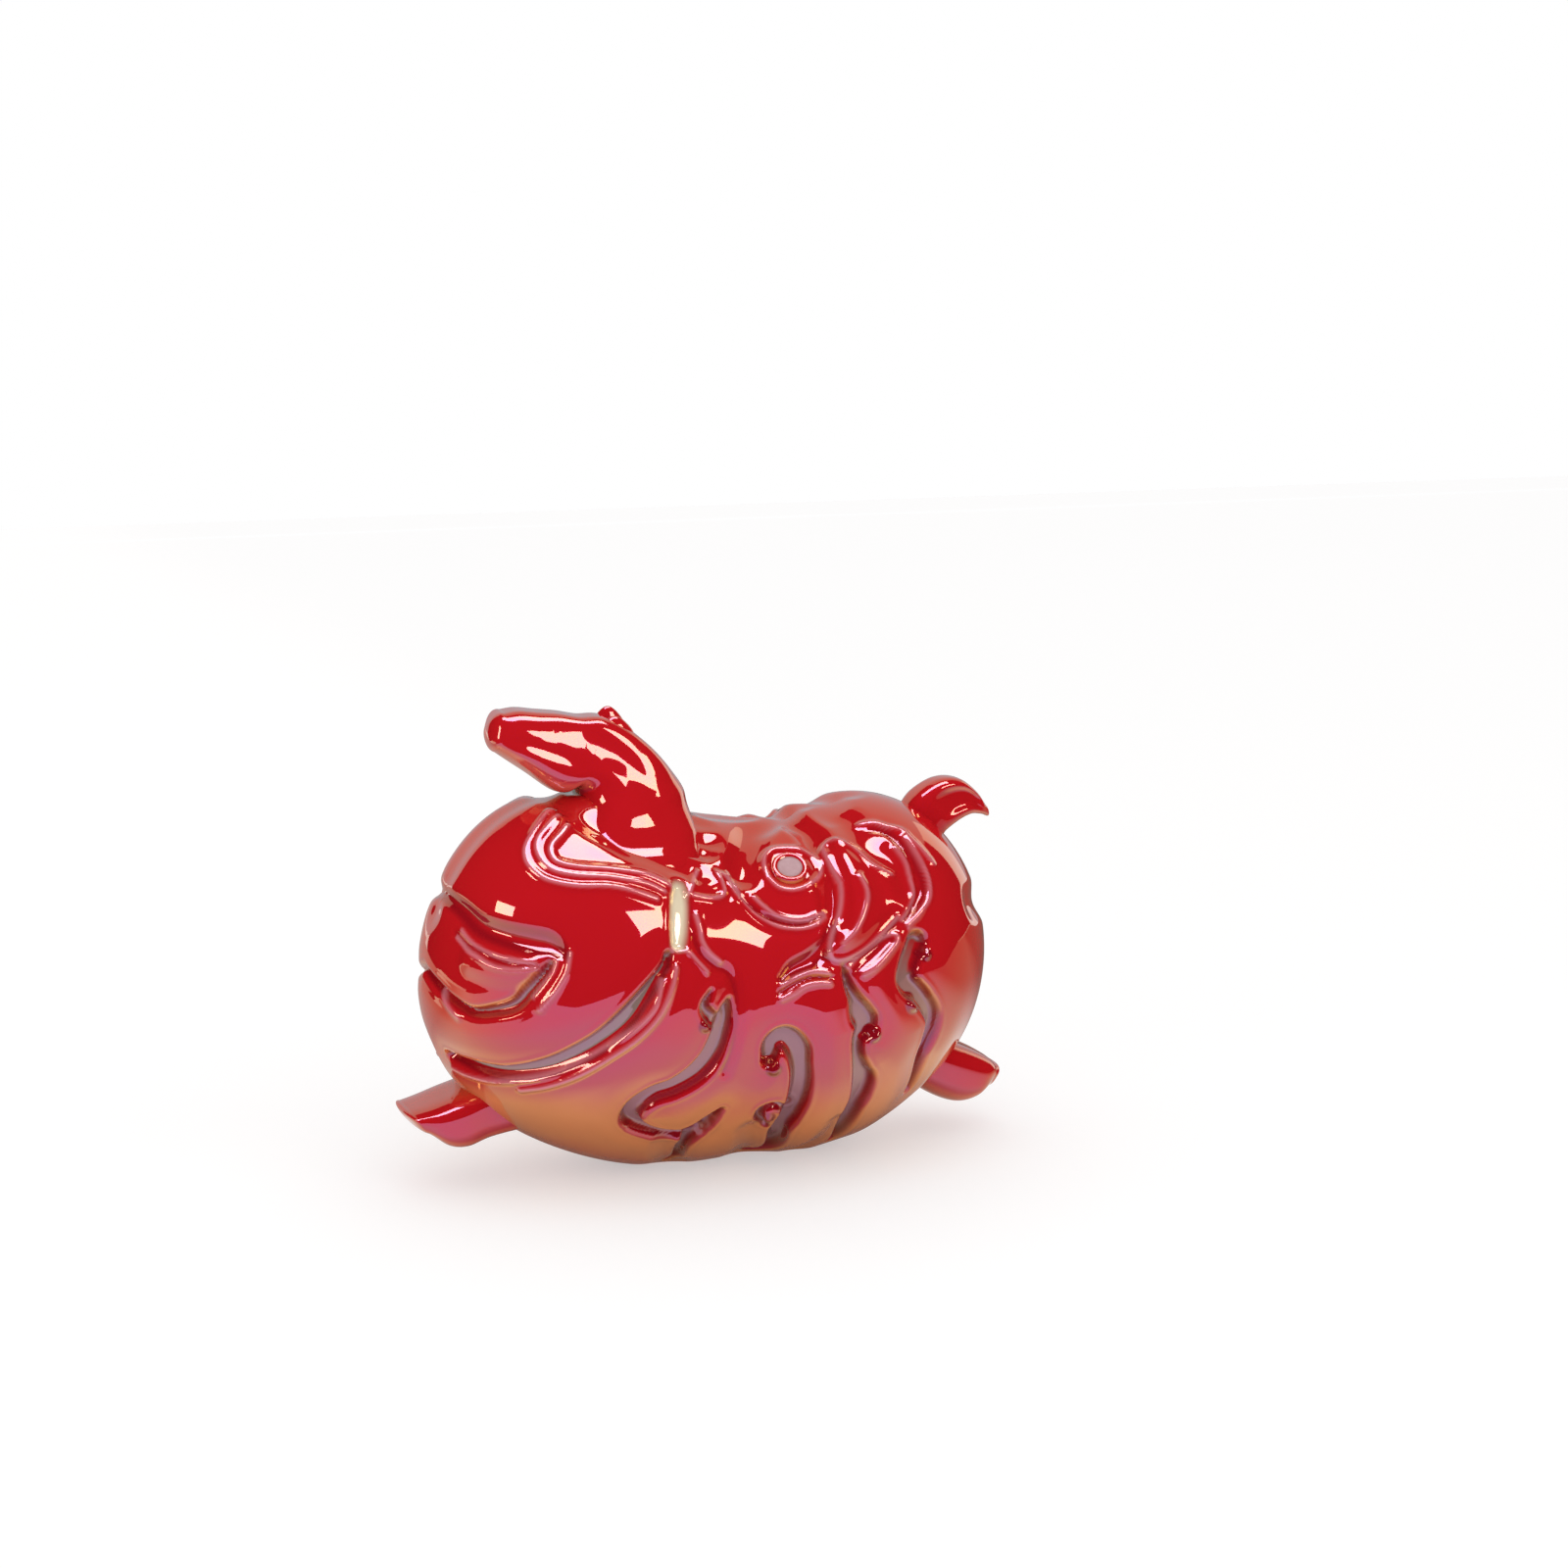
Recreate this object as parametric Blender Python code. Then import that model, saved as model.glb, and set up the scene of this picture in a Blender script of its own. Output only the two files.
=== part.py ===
"""A glazed ceramic figurine of a plump crouching horse.

The barrel is a hollow shell pressed in a left and a right half, which are luted
together along the middle of the back and belly.  The head with its neck, the two
ears, the tail, the two broad feet and a small bare button on the near flank are
made apart and stuck on with slip.  Metres, +Z up.  The head looks along -X and the
horse's left flank, the one with the button, faces -Y.
"""
import bmesh
import bpy
import numpy as np
from mathutils import Vector

for leftover in list(bpy.data.objects):
    bpy.data.objects.remove(leftover, do_unlink=True)

MM = 0.001

# Driving dimensions of the shell
JOINT_GAP = 0.3 * MM          # the slip joint between two pieces
SHELL_WALL = 7.0 * MM         # from the smooth outer form to the hollow
VENT_RADIUS = 6.0 * MM        # firing vent in the flat foot
VENT_X = 12.0 * MM

# The barrel is a soft union of five eggs, each with its centre along X, its centre's
# height, and its half length, half width and half height, in millimetres
CHEST = (-41.0, 67.7, 62.0, 53.0, 55.0)
BREAST = (-54.0, 92.7, 41.0, 39.0, 44.5)
BELLY = (-14.0, 62.2, 61.0, 48.0, 61.5)
LOIN = (35.0, 60.7, 49.5, 58.0, 60.0)
RUMP = (64.0, 74.7, 42.5, 53.0, 54.5)
EGG_BLEND = 9.0 * MM          # how far one egg melts into the next
HEART_HEIGHT = 63.7 * MM      # the point inside the barrel that all angles are taken from

# The carving, drawn as strokes on the left flank and mirrored on the right.  A
# stroke's points give the angle round from the front of the chest (90 is the middle
# of the flank), the angle up from the level, both in degrees, and half the stroke's
# width in millimetres.
CREASE = "crease"             # a pinched fold between two plump rolls
RECESS = "recess"             # a flat-bottomed channel with steep walls
# name: kind, depth, wall width, the wider dip beside it and how far that reaches, points
STROKES = {
    "pad_edge": (RECESS, 2.6, 2.2, 1.2, 9,
     [(-9, 23, 1.1), (2, 24, 1.4), (10, 22.5, 2.1), (16.5, 20.5, 2.5), (22.5, 19, 3.2),
      (27.5, 19, 3.2), (31.5, 19, 2.9), (35, 19, 0.7)]),
    "lens_crease": (CREASE, 2.2, 3.6, 0, 1,
     [(10, 17.5, 0), (15, 15.5, 0), (20, 14.5, 0), (25.5, 14.5, 0), (30.5, 15, 0)]),
    "lens_groove": (RECESS, 2.8, 2.6, 1.0, 8,
     [(-7.5, 8.5, 0.7), (5.5, 6.5, 1.1), (10.5, 4, 1.4), (16, 3, 1.4), (21.5, 3.5, 1.4),
      (26, 5.5, 1.4), (30, 9.5, 1.4), (32, 13, 1.2), (33.5, 17, 0.7)]),
    "chest_band": (RECESS, 3.4, 2.6, 1.8, 12,
     [(61.5, 25.5, 1.4), (60, 21, 1.8), (56, 12, 2.1), (50.5, 3, 2.9), (44.5, -3, 3.2),
      (38, -7.5, 2.9), (31, -11, 2.1), (21.5, -12.5, 1.8), (14, -11.5, 1.8), (3, -10.5, 1.4)]),
    "buckle": (RECESS, 2.4, 4.5, 0.8, 9,
     [(60.5, 46, 1.8), (61.5, 39.5, 2.5), (62.5, 32, 2.5), (62.5, 25, 1.8)]),
    "barrel_edge": (CREASE, 1.8, 5, 0, 1,
     [(65.5, 40.5, 0), (67, 31.5, 0), (70, 24.5, 0), (75, 20.5, 0), (80.5, 17.5, 0), (83, 11, 0),
      (83, 1, 0), (81.5, -10, 0), (78.5, -19.5, 0)]),
    "flame_main": (RECESS, 3.2, 2.4, 1.2, 10,
     [(80.5, 8, 0), (79, 2, 2.5), (77, -5.5, 3.2), (74, -12.5, 3.6), (68.5, -18.5, 3.9),
      (61, -22, 3.6), (54.5, -23, 3.6), (48.5, -26.5, 3.6), (45.5, -32, 2.9), (49.5, -39, 2.1),
      (58, -45.5, 2.9), (67.5, -46, 3.6), (74, -41.5, 2.1), (79, -37, 0)]),
    "flame_tip": (RECESS, 3.2, 2.4, 0, 1,
     [(73.5, 11.5, 0), (71.5, 6, 1.4), (74.5, 1, 2.5)]),
    "flame_tail": (RECESS, 3.2, 2.4, 1.8, 12,
     [(67.5, -47.5, 2.9), (61, -53.5, 2.1), (50, -66.5, 1.4), (36.5, -69.5, 1.1)]),
    "scroll": (RECESS, 3.4, 2.4, 1.6, 12,
     [(96.5, -17, 2.1), (97.5, -11, 3.2), (101.5, -8.5, 3.9), (105.5, -12.5, 3.9), (107.5, -19, 3.2),
      (109, -25, 3.2), (110.5, -33, 3.2), (111.5, -41.5, 3.2), (114.5, -52, 3.2), (130.5, -66.5, 2.5),
      (128.5, -72.5, 1.4)]),
    "scroll_pocket": (RECESS, 3.0, 2.2, 0, 1,
     [(108.5, -38, 1.8), (102.5, -36.5, 1.4), (98, -39, 1.4), (98.5, -43.5, 1.4), (103.5, -47.5, 1.1)]),
    "wavy": (RECESS, 3.2, 2.4, 1.8, 12,
     [(119.5, 14.5, 0), (120, 8.5, 1.1), (121.5, 3.5, 2.1), (123, -1, 3.9), (124.5, -4.5, 3.9),
      (123, -9, 2.1), (124, -14.5, 1.8), (126.5, -19.5, 2.9), (128.5, -22.5, 3.9), (130.5, -27.5, 3.6),
      (133, -34.5, 3.2), (140, -43, 2.5), (152, -51, 1.4)]),
    "rear_ribbon": (RECESS, 3.0, 2.4, 1.8, 12,
     [(138.5, 15, 3.6), (135.5, 10, 3.6), (135, 5.5, 3.9), (139, 0.5, 3.2), (142.5, -4.5, 2.9),
      (143.5, -9.5, 2.9), (144, -15, 2.1), (147, -21, 1.4), (151, -26.5, 1.1)]),
    "hip_groove": (RECESS, 2.8, 3.5, 0.8, 9,
     [(121, 26, 1.4), (117, 21.5, 2.5), (111, 18, 2.9), (105, 16, 2.5), (101, 12.5, 1.1)]),
    "hip_line": (CREASE, 1.3, 2.6, 0, 1,
     [(100.5, 8, 0), (106, 11, 0), (114.5, 11.5, 0)]),
    "dome_valley": (RECESS, 2.6, 3.5, 0.8, 8,
     [(83.5, 56.5, 1.1), (88, 52, 1.8), (90, 45, 1.8), (95, 39, 1.4), (101.5, 34, 1.1), (109, 31, 0.9),
      (115.5, 30.5, 0.7), (121, 31.5, 0.4)]),
    "dome_left": (CREASE, 2.4, 10, 0, 1,
     [(-155, 60, 0), (139.5, 70, 0), (106, 63, 0), (93.5, 54, 0)]),
    "dome_right": (CREASE, 3.0, 10, 0, 1,
     [(-154.5, 61, 0), (165, 63, 0), (147, 56, 0), (137.5, 49.5, 0), (131, 42.5, 0), (126.5, 36, 0),
      (122.5, 29.5, 0)]),
    "hump_crease": (CREASE, 3.2, 10, 0, 1,
     [(-162.5, 51.5, 0), (165.5, 53.5, 0), (156, 49.5, 0), (150, 45, 0), (146, 40.5, 0),
      (145.5, 36, 0), (144.5, 31.5, 0), (143, 27.5, 0)]),
    "leaf_left": (CREASE, 3.4, 5, 0, 1,
     [(145, 51.5, 0), (137.5, 46.5, 0), (131.5, 39.5, 0), (128, 34, 0), (123, 28, 0), (118, 22, 0),
      (115.5, 18.5, 0)]),
    "leaf_top": (CREASE, 3.2, 5, 0, 1,
     [(144.5, 52, 0), (146, 46.5, 0), (143.5, 42, 0), (142, 37.5, 0), (144.5, 33.5, 0)]),
    "leaf_under": (CREASE, 3.2, 7, 0, 1,
     [(115, 18, 0), (120, 15.5, 0), (126, 16.5, 0), (131.5, 19, 0), (136, 22, 0)]),
    "rump_ribbon": (RECESS, 2.8, 2.6, 0.8, 8,
     [(157, 46.5, 0.4), (154, 42, 1.4), (152.5, 37.5, 2.1), (150, 33.5, 2.5), (147.5, 29.5, 2.9),
      (145, 26, 2.5), (141.5, 23.5, 2.1), (138, 21, 1.4)]),
    "finger_slot": (RECESS, 2.2, 2.6, 0, 1,
     [(133.5, 18, 1.4), (129, 15.5, 1.6), (124.5, 13, 1.6), (121, 11.5, 1.1)]),
    "heart": (CREASE, 1.5, 2.8, 0, 1,
     [(67, 54, 0), (65, 47.5, 0), (67.5, 43, 0), (74.5, 45.5, 0), (81.5, 45, 0), (85, 48.5, 0),
      (84, 53.5, 0), (79.5, 56, 0)]),
    "heart_tip": (CREASE, 0.8, 2.2, 0, 1,
     [(77, 58.5, 0), (74.5, 52.5, 0), (78, 50.5, 0)]),
    "collar_groove": (RECESS, 2.2, 3.0, 0.8, 8,
     [(12.5, 50.5, 0.7), (17.5, 45, 1.1), (19.5, 40, 1.4), (22, 36.5, 1.4), (25.5, 35, 1.2),
      (30, 35, 1.1), (36.5, 37, 1.1), (43, 39.5, 1.1), (49, 40, 0.6)]),
    "rear_roll": (CREASE, 2.6, 7, 0, 1,
     [(168.5, 20, 0), (159, 20.5, 0), (157, 18, 0), (157.5, 14.5, 0)]),
    "barrel_fold": (CREASE, 1.8, 7, 0, 1,
     [(65.5, 76.5, 0), (67.5, 66, 0), (71, 57.5, 0)]),
    "chest_midline": (CREASE, 3.0, 8, 0, 1,
     [(0, 75, 0), (0, 60, 0), (0, 45, 0), (0, 30, 0), (0, 15, 0), (0, 0, 0), (0, -15, 0), (0, -30, 0),
      (0, -45, 0)]),
    "back_midline": (CREASE, 1.6, 9, 0, 1,
     [(180, 88, 0), (180, 80, 0), (180, 70, 0), (180, 60, 0), (180, 50, 0)]),
}
# Curled ends that stand up in the channels: the two angles, radius, height
CURLS = [
    (71.5, -0.5, 2.3, 2.6),
    (98.5, -20.5, 2.5, 2.4),
    (102, -42.5, 2.5, 2.6),
    (126.5, -7.5, 2.5, 2.4),
    (136, 0, 3.4, 2.6),
    (139.5, 11.5, 2.1, 2),
]
# The dips on both sides of the neck: the two angles, radius, depth
NECK_DIP = (33.0, 48.0, 20.0, 5.5)

# Where the stuck-on pieces sit on the barrel: degrees up from the level, in the middle
# plane, at the front for the neck and the front foot and at the back for the others
NECK_UP = 66.0
TAIL_UP = 31.0
FRONT_FOOT_UP = -22.0
REAR_FOOT_UP = -29.0

# Sections of these pieces, in millimetres from that seat: distance back and up, half
# size along the section, the section's lean from the level in degrees, half width
NECK_SECTIONS = [
    (-4.2, -38.4, 28, -1, 30), (-4.7, -28.4, 29.5, -1, 33.5), (-4.5, -21.4, 30, -1, 36.5),
    (-4.1, -16.9, 29.8, -1, 37.5), (-2.9, -13.9, 28.6, -1, 35.5), (-0.5, -10.6, 26.2, -1, 32),
    (2.5, -7, 22.9, -1, 25.5), (5.5, -3.4, 19.4, 1, 19.5), (6.9, 0.4, 17, 8, 14.8),
    (4.3, 4.3, 15.5, 22, 13), (0.3, 8.3, 14.9, 42, 12.5), (-4, 12.2, 14.8, 60, 12.5),
    (-9.7, 14.6, 15.4, 76, 12.3), (-16.7, 15.3, 14.9, 79, 11.8), (-23.7, 17.9, 13.6, 81, 11.3),
    (-30.7, 20.9, 11.4, 81, 10.8), (-37.7, 23.8, 9.4, 79, 10.2), (-42.7, 25.2, 7.4, 78, 9.2),
]
SNOUT_LENGTH = 4.5 * MM
HEAD_TURN = 8.0               # degrees, the head looks a little away from the marked flank
TURN_START = -20.0 * MM       # from the neck's seat, where the turn starts and where it is full
TURN_END = 4.0 * MM
TAIL_SECTIONS = [
    (-8.5, -8.4, 9, -35, 7.5), (-2.9, 1, 9.3, -39, 7.5), (1, 5, 9.5, -51, 7.5),
    (7.6, 8.4, 9, -61, 7.3), (13.7, 8.9, 7.4, -70, 6.6), (19, 6.3, 4.8, -78, 5.2),
    (22.7, 3.1, 2.2, -86, 3.2),
]
TAIL_TIP_LENGTH = 2.5 * MM
FRONT_FOOT_SECTIONS = [
    (18.9, 0.6, 9.4, 90, 15), (2.9, -1.4, 9.2, 90, 15.5), (-7.1, -3.7, 8.8, 90, 16.5),
    (-15.6, -5.3, 7.2, 90, 16), (-23.4, -5.1, 4.6, 90, 14),
]
REAR_FOOT_SECTIONS = [
    (-4.6, 13.7, 10, 90, 15.5), (9.4, 6.5, 11.2, 85, 16.5), (19.4, 2.5, 10.8, 80, 17),
    (27.4, 0.6, 8.6, 75, 16.5), (32.7, 0.1, 5.2, 75, 14),
]
TOE_LENGTH = 4.0 * MM
EAR_BASE_RADIUS = 4.6 * MM
EAR_LEFT_HEIGHT = 5.8 * MM     # from the root inside the head to the tip
EAR_RIGHT_HEIGHT = 8.4 * MM
EAR_SPREAD = 8.2 * MM         # from the middle of the head to each ear
EAR_STATION = 0.68            # how far along the neck and head the ears stand, as a share
EAR_SINK = 4.6 * MM           # how deep the ear's root starts below the crown
EAR_TAPER = 0.3               # the tip's radius as a share of the root's
EAR_ROUNDING = 0.7            # of the tip's radius
EAR_FLATNESS = 0.7            # its thickness as a share of its width
BUTTON_RADIUS = 6.5 * MM
BUTTON_HEIGHT = 1.6 * MM      # above the smooth form of the shoulder
BUTTON_SINK = 4.0 * MM        # its root, below the smooth form
BUTTON_AROUND = 120.5         # degrees round from the front of the chest
BUTTON_UP = 50.0              # degrees up from the level

# How square a section is: 2 is an ellipse, more is squarer
NECK_SQUARENESS = 2.9
TAIL_SQUARENESS = 2.5
FRONT_FOOT_SQUARENESS = 3.0
REAR_FOOT_SQUARENESS = 2.8

# How finely the surfaces are divided
BARREL_GRID = 80
BARREL_STRETCH = 1.35         # the grid follows the barrel, which is longer than it is wide
BARREL_KEEP = 0.105           # share of the fine faces that the shell keeps
HOLLOW_GRID = 11
STROKE_STEP = 0.5             # degrees between the points that a stroke is drawn with
WIDEST_STROKE = 18.0 * MM     # no stroke reaches further than this from its own line
HALVINGS = 28                 # steps in the search for the surface along a ray
NECK_ROUND = 32               # faces round the neck, and along it
NECK_LONG = 40
TAIL_ROUND = 20
TAIL_LONG = 20
FOOT_ROUND = 28
FOOT_LONG = 18
TIP_ROWS = 4                  # rows of faces that round off a tip
EAR_SIDES = 16
BUTTON_SIDES = 32
VENT_SIDES = 24
SHARP_ANGLE = np.radians(50)

GLAZE_RED = (0.56, 0.010, 0.016, 1.0)
GLAZE_ROUGHNESS = 0.06
GAP_MARGIN = 1.1              # so that the flat faces of two curved pieces still stay apart


def glaze(name, colour, roughness):
    """A material of one colour for a piece."""
    material = bpy.data.materials.new(name)
    material.use_nodes = True
    shader = material.node_tree.nodes["Principled BSDF"]
    shader.inputs["Base Color"].default_value = colour
    shader.inputs["Roughness"].default_value = roughness
    shader.inputs["Metallic"].default_value = 0.0
    material.diffuse_color = colour
    return material


def in_metres(sizes):
    """Turns an egg's or a section's millimetres into metres."""
    return [size * MM for size in sizes]


EGGS = [in_metres(egg) for egg in (CHEST, BREAST, BELLY, LOIN, RUMP)]
HEART = np.array([0.0, 0.0, HEART_HEIGHT])


def barrel_field(points):
    """Roughly the distance from the smooth barrel, negative inside it."""
    total = 0.0
    for centre_x, centre_z, half_x, half_y, half_z in EGGS:
        offset = points - np.array([centre_x, 0.0, centre_z])
        halves = np.array([half_x, half_y, half_z])
        size = np.linalg.norm(offset / halves, axis=-1)
        slope = np.linalg.norm(offset / halves ** 2, axis=-1)
        total = total + np.exp(-(size - 1.0) * size / np.maximum(slope, 1e-6) / EGG_BLEND)
    return -EGG_BLEND * np.log(total)


def direction(around, up):
    """The unit vector at an angle round from the front of the chest and an angle up."""
    around = np.radians(around)
    up = np.radians(up)
    level = np.cos(up)
    return np.stack([-level * np.cos(around), -level * np.sin(around), np.sin(up)], axis=-1)


def on_barrel(directions):
    """The points where rays from the barrel's heart leave the smooth barrel."""
    near = np.zeros(directions.shape[:-1])
    far = near + sum(egg[2] + abs(egg[0]) for egg in EGGS)
    for _ in range(int(HALVINGS)):
        middle = (near + far) / 2
        inside = barrel_field(HEART + directions * middle[..., None]) < 0
        near = np.where(inside, middle, near)
        far = np.where(inside, far, middle)
    return HEART + directions * near[..., None]


def outward(points):
    """Unit normals of the smooth barrel."""
    step = 0.2 * MM
    slopes = []
    for axis in np.eye(3) * step:
        slopes.append(barrel_field(points + axis) - barrel_field(points - axis))
    normals = np.stack(slopes, axis=-1)
    return normals / np.linalg.norm(normals, axis=-1, keepdims=True)


def ease(share):
    """A smooth step from 0 to 1."""
    share = np.clip(share, 0.0, 1.0)
    return share * share * (3.0 - 2.0 * share)


def through(points, spacing):
    """A smooth curve through a few points, each a row of numbers."""
    points = np.asarray(points, dtype=float)
    before = 2 * points[0] - points[1]
    after = 2 * points[-1] - points[-2]
    padded = np.vstack([before, points, after])
    pieces = []
    for first, start, end, last in zip(padded, padded[1:], padded[2:], padded[3:]):
        count = max(2, int(np.hypot(*(end - start)[:2]) / spacing) + 1)
        share = np.linspace(0.0, 1.0, count, endpoint=False)[:, None]
        pieces.append(0.5 * (2 * start + (end - first) * share
                             + (2 * first - 5 * start + 4 * end - last) * share ** 2
                             + (3 * start - first - 3 * end + last) * share ** 3))
    pieces.append(points[-1:])
    return np.vstack(pieces)


def distance_to_stroke(points, stroke):
    """How far each point is outside a stroke's edge, negative within its width."""
    curve = through(stroke, STROKE_STEP)
    path = on_barrel(direction(curve[:, 0], curve[:, 1]))
    halves = curve[:, 2] * MM
    low = path.min(axis=0) - WIDEST_STROKE
    high = path.max(axis=0) + WIDEST_STROKE
    found = np.full(len(points), 1.0)
    for number in np.flatnonzero(np.all((points > low) & (points < high), axis=1)):
        found[number] = (np.linalg.norm(path - points[number], axis=1) - halves).min()
    return found


def carving(points):
    """How far the carved barrel lies outside the smooth one at each point."""
    left = points * np.array([1.0, 0.0, 1.0]) - np.abs(points) * np.array([0.0, 1.0, 0.0])
    cuts = np.zeros(len(points))
    for kind, depth, wall, dip, reach, stroke in STROKES.values():
        apart = distance_to_stroke(left, stroke) / MM
        if kind == CREASE:
            share = np.clip(apart / wall, 0.0, 1.0)
            cut = depth * (1.0 - share) ** 2 * (1.0 + 0.6 * share)
        else:
            share = np.clip(apart / reach, 0.0, 1.0)
            cut = depth * ease(0.5 - apart / wall) + dip * (1.0 - share) ** 2
        cuts += cut ** 4
    lift = -(cuts ** 0.25)
    for around, up, radius, height in CURLS:
        middle = on_barrel(direction(np.array([around]), np.array([up])))
        apart = np.linalg.norm(left - middle, axis=1) / MM
        lift += height * np.sqrt(np.clip(1.0 - (apart / radius) ** 2, 0.0, 1.0))
    around, up, radius, depth = NECK_DIP
    middle = on_barrel(direction(np.array([around]), np.array([up])))
    apart = np.linalg.norm(left - middle, axis=1) / MM
    lift -= depth * ease(1.4 - 1.4 * apart / radius)
    return lift * MM


def grid_ball(cuts):
    """A cube divided into a grid and pushed out to unit directions, a little longer along X."""
    ball = bmesh.new()
    bmesh.ops.create_cube(ball, size=2.0)
    bmesh.ops.subdivide_edges(ball, edges=ball.edges[:], cuts=int(cuts), use_grid_fill=True)
    places = np.array([corner.co[:] for corner in ball.verts])
    places = np.tan(places * np.pi / 4) * np.array([BARREL_STRETCH, 1.0, 1.0])
    return ball, places / np.linalg.norm(places, axis=1, keepdims=True)


def place_corners(shape, places):
    """Moves every corner of a mesh to its place."""
    for corner, place in zip(shape.verts, places):
        corner.co = place


def add_object(name, shape, material=None):
    """Makes an object of a mesh in the making, with its faces pointing out."""
    bmesh.ops.recalc_face_normals(shape, faces=shape.faces[:])
    mesh = bpy.data.meshes.new(name)
    shape.to_mesh(mesh)
    shape.free()
    mesh.shade_smooth()
    mesh.set_sharp_from_angle(angle=SHARP_ANGLE)
    thing = bpy.data.objects.new(name, mesh)
    bpy.context.collection.objects.link(thing)
    if material:
        mesh.materials.append(material)
    return thing


def as_cutter(thing):
    """Keeps an object as a cutter only."""
    thing.hide_render = True
    thing.display_type = "WIRE"
    return thing


def cut_by(thing, cutter):
    """Takes a cutter's volume out of a piece."""
    cut = thing.modifiers.new("cut_by_" + cutter.name, "BOOLEAN")
    cut.operation = "DIFFERENCE"
    cut.solver = "EXACT"
    cut.object = cutter


def swollen_copy(thing, name, growth):
    """A cutter a little larger than a piece all round, which leaves the joint's gap."""
    copy = thing.data.copy()
    copy.name = name
    for corner, normal in zip(copy.vertices, [vertex.normal.copy() for vertex in copy.vertices]):
        corner.co += normal * growth
    cutter = bpy.data.objects.new(name, copy)
    bpy.context.collection.objects.link(cutter)
    return as_cutter(cutter)


def block(name, low, high):
    """A box between two corners, as a cutter."""
    shape = bmesh.new()
    bmesh.ops.create_cube(shape, size=1.0)
    low = np.array(low)
    high = np.array(high)
    places = [(low + high) / 2 + np.array(corner.co[:]) * (high - low) for corner in shape.verts]
    place_corners(shape, places)
    return as_cutter(add_object(name, shape))


# The outer skin of the barrel, carved
skin, ways = grid_ball(BARREL_GRID)
smooth = on_barrel(ways)
carved = smooth + outward(smooth) * carving(smooth)[:, None]
place_corners(skin, carved)
fine_barrel = add_object("fine_barrel", skin)
thinned = fine_barrel.modifiers.new("thinned", "DECIMATE")
thinned.ratio = BARREL_KEEP
bpy.context.view_layer.update()
scene_state = bpy.context.evaluated_depsgraph_get()
barrel_mesh = bpy.data.meshes.new_from_object(fine_barrel.evaluated_get(scene_state))
bpy.data.objects.remove(fine_barrel, do_unlink=True)

# The hollow inside it, a plain copy of the smooth form one wall further in
core, ways = grid_ball(HOLLOW_GRID)
smooth = on_barrel(ways)
place_corners(core, smooth - outward(smooth) * SHELL_WALL)
hollow = as_cutter(add_object("hollow", core))

# The firing vent through the flat foot
drill = bmesh.new()
bmesh.ops.create_cone(drill, cap_ends=True, segments=int(VENT_SIDES), radius1=VENT_RADIUS, radius2=VENT_RADIUS,
                      depth=4 * SHELL_WALL)
bmesh.ops.translate(drill, verts=drill.verts[:], vec=(VENT_X, 0.0, 0.0))
vent = as_cutter(add_object("vent", drill))

# The two pressed halves meet along the middle plane, and the belly is rubbed flat where
# the figurine stands
span = sum(egg[2] + abs(egg[0]) for egg in EGGS)
table_block = block("table_block", (-span, -span, -span), (span, span, 0.0))
far_block = block("far_block", (-span, -JOINT_GAP / 2, -span), (span, span, span))
near_block = block("near_block", (-span, -span, -span), (span, JOINT_GAP / 2, span))
for side, away in (("left", far_block), ("right", near_block)):
    mesh = barrel_mesh.copy()
    mesh.name = "body_%s_half" % side
    mesh.materials.clear()
    mesh.materials.append(glaze("glaze_%s_half" % side, GLAZE_RED, GLAZE_ROUGHNESS))
    mesh.shade_smooth()
    mesh.set_sharp_from_angle(angle=SHARP_ANGLE)
    half = bpy.data.objects.new(mesh.name, mesh)
    bpy.context.collection.objects.link(half)
    cut_by(half, hollow)
    cut_by(half, away)
    cut_by(half, table_block)
    cut_by(half, vent)

whole_barrel = bpy.data.objects.new("whole_barrel", barrel_mesh)
bpy.context.collection.objects.link(whole_barrel)
barrel_clearance = swollen_copy(as_cutter(whole_barrel), "barrel_clearance", JOINT_GAP * GAP_MARGIN)


def section_at(sections, share):
    """A piece's section at each share of the way from its root to its last section."""
    table = np.asarray(sections, dtype=float)
    stations = np.clip(share, 0.0, 1.0) * (len(table) - 1)
    start = np.minimum(stations.astype(int), len(table) - 2)
    part = (stations - start)[:, None]
    padded = np.vstack([2 * table[0] - table[1], table, 2 * table[-1] - table[-2]])
    first, begin, end, last = (padded[start + step] for step in range(4))
    return 0.5 * (2 * begin + (end - first) * part
                  + (2 * first - 5 * begin + 4 * end - last) * part ** 2
                  + (3 * begin - first - 3 * end + last) * part ** 3)


def seat_at_front(up):
    """The point of the smooth barrel in the middle plane on the chest's side."""
    return on_barrel(direction(np.array([0.0]), np.array([up])))[0]


def seat_at_back(up):
    """The point of the smooth barrel in the middle plane on the rump's side."""
    return on_barrel(direction(np.array([180.0]), np.array([up])))[0]


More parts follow.
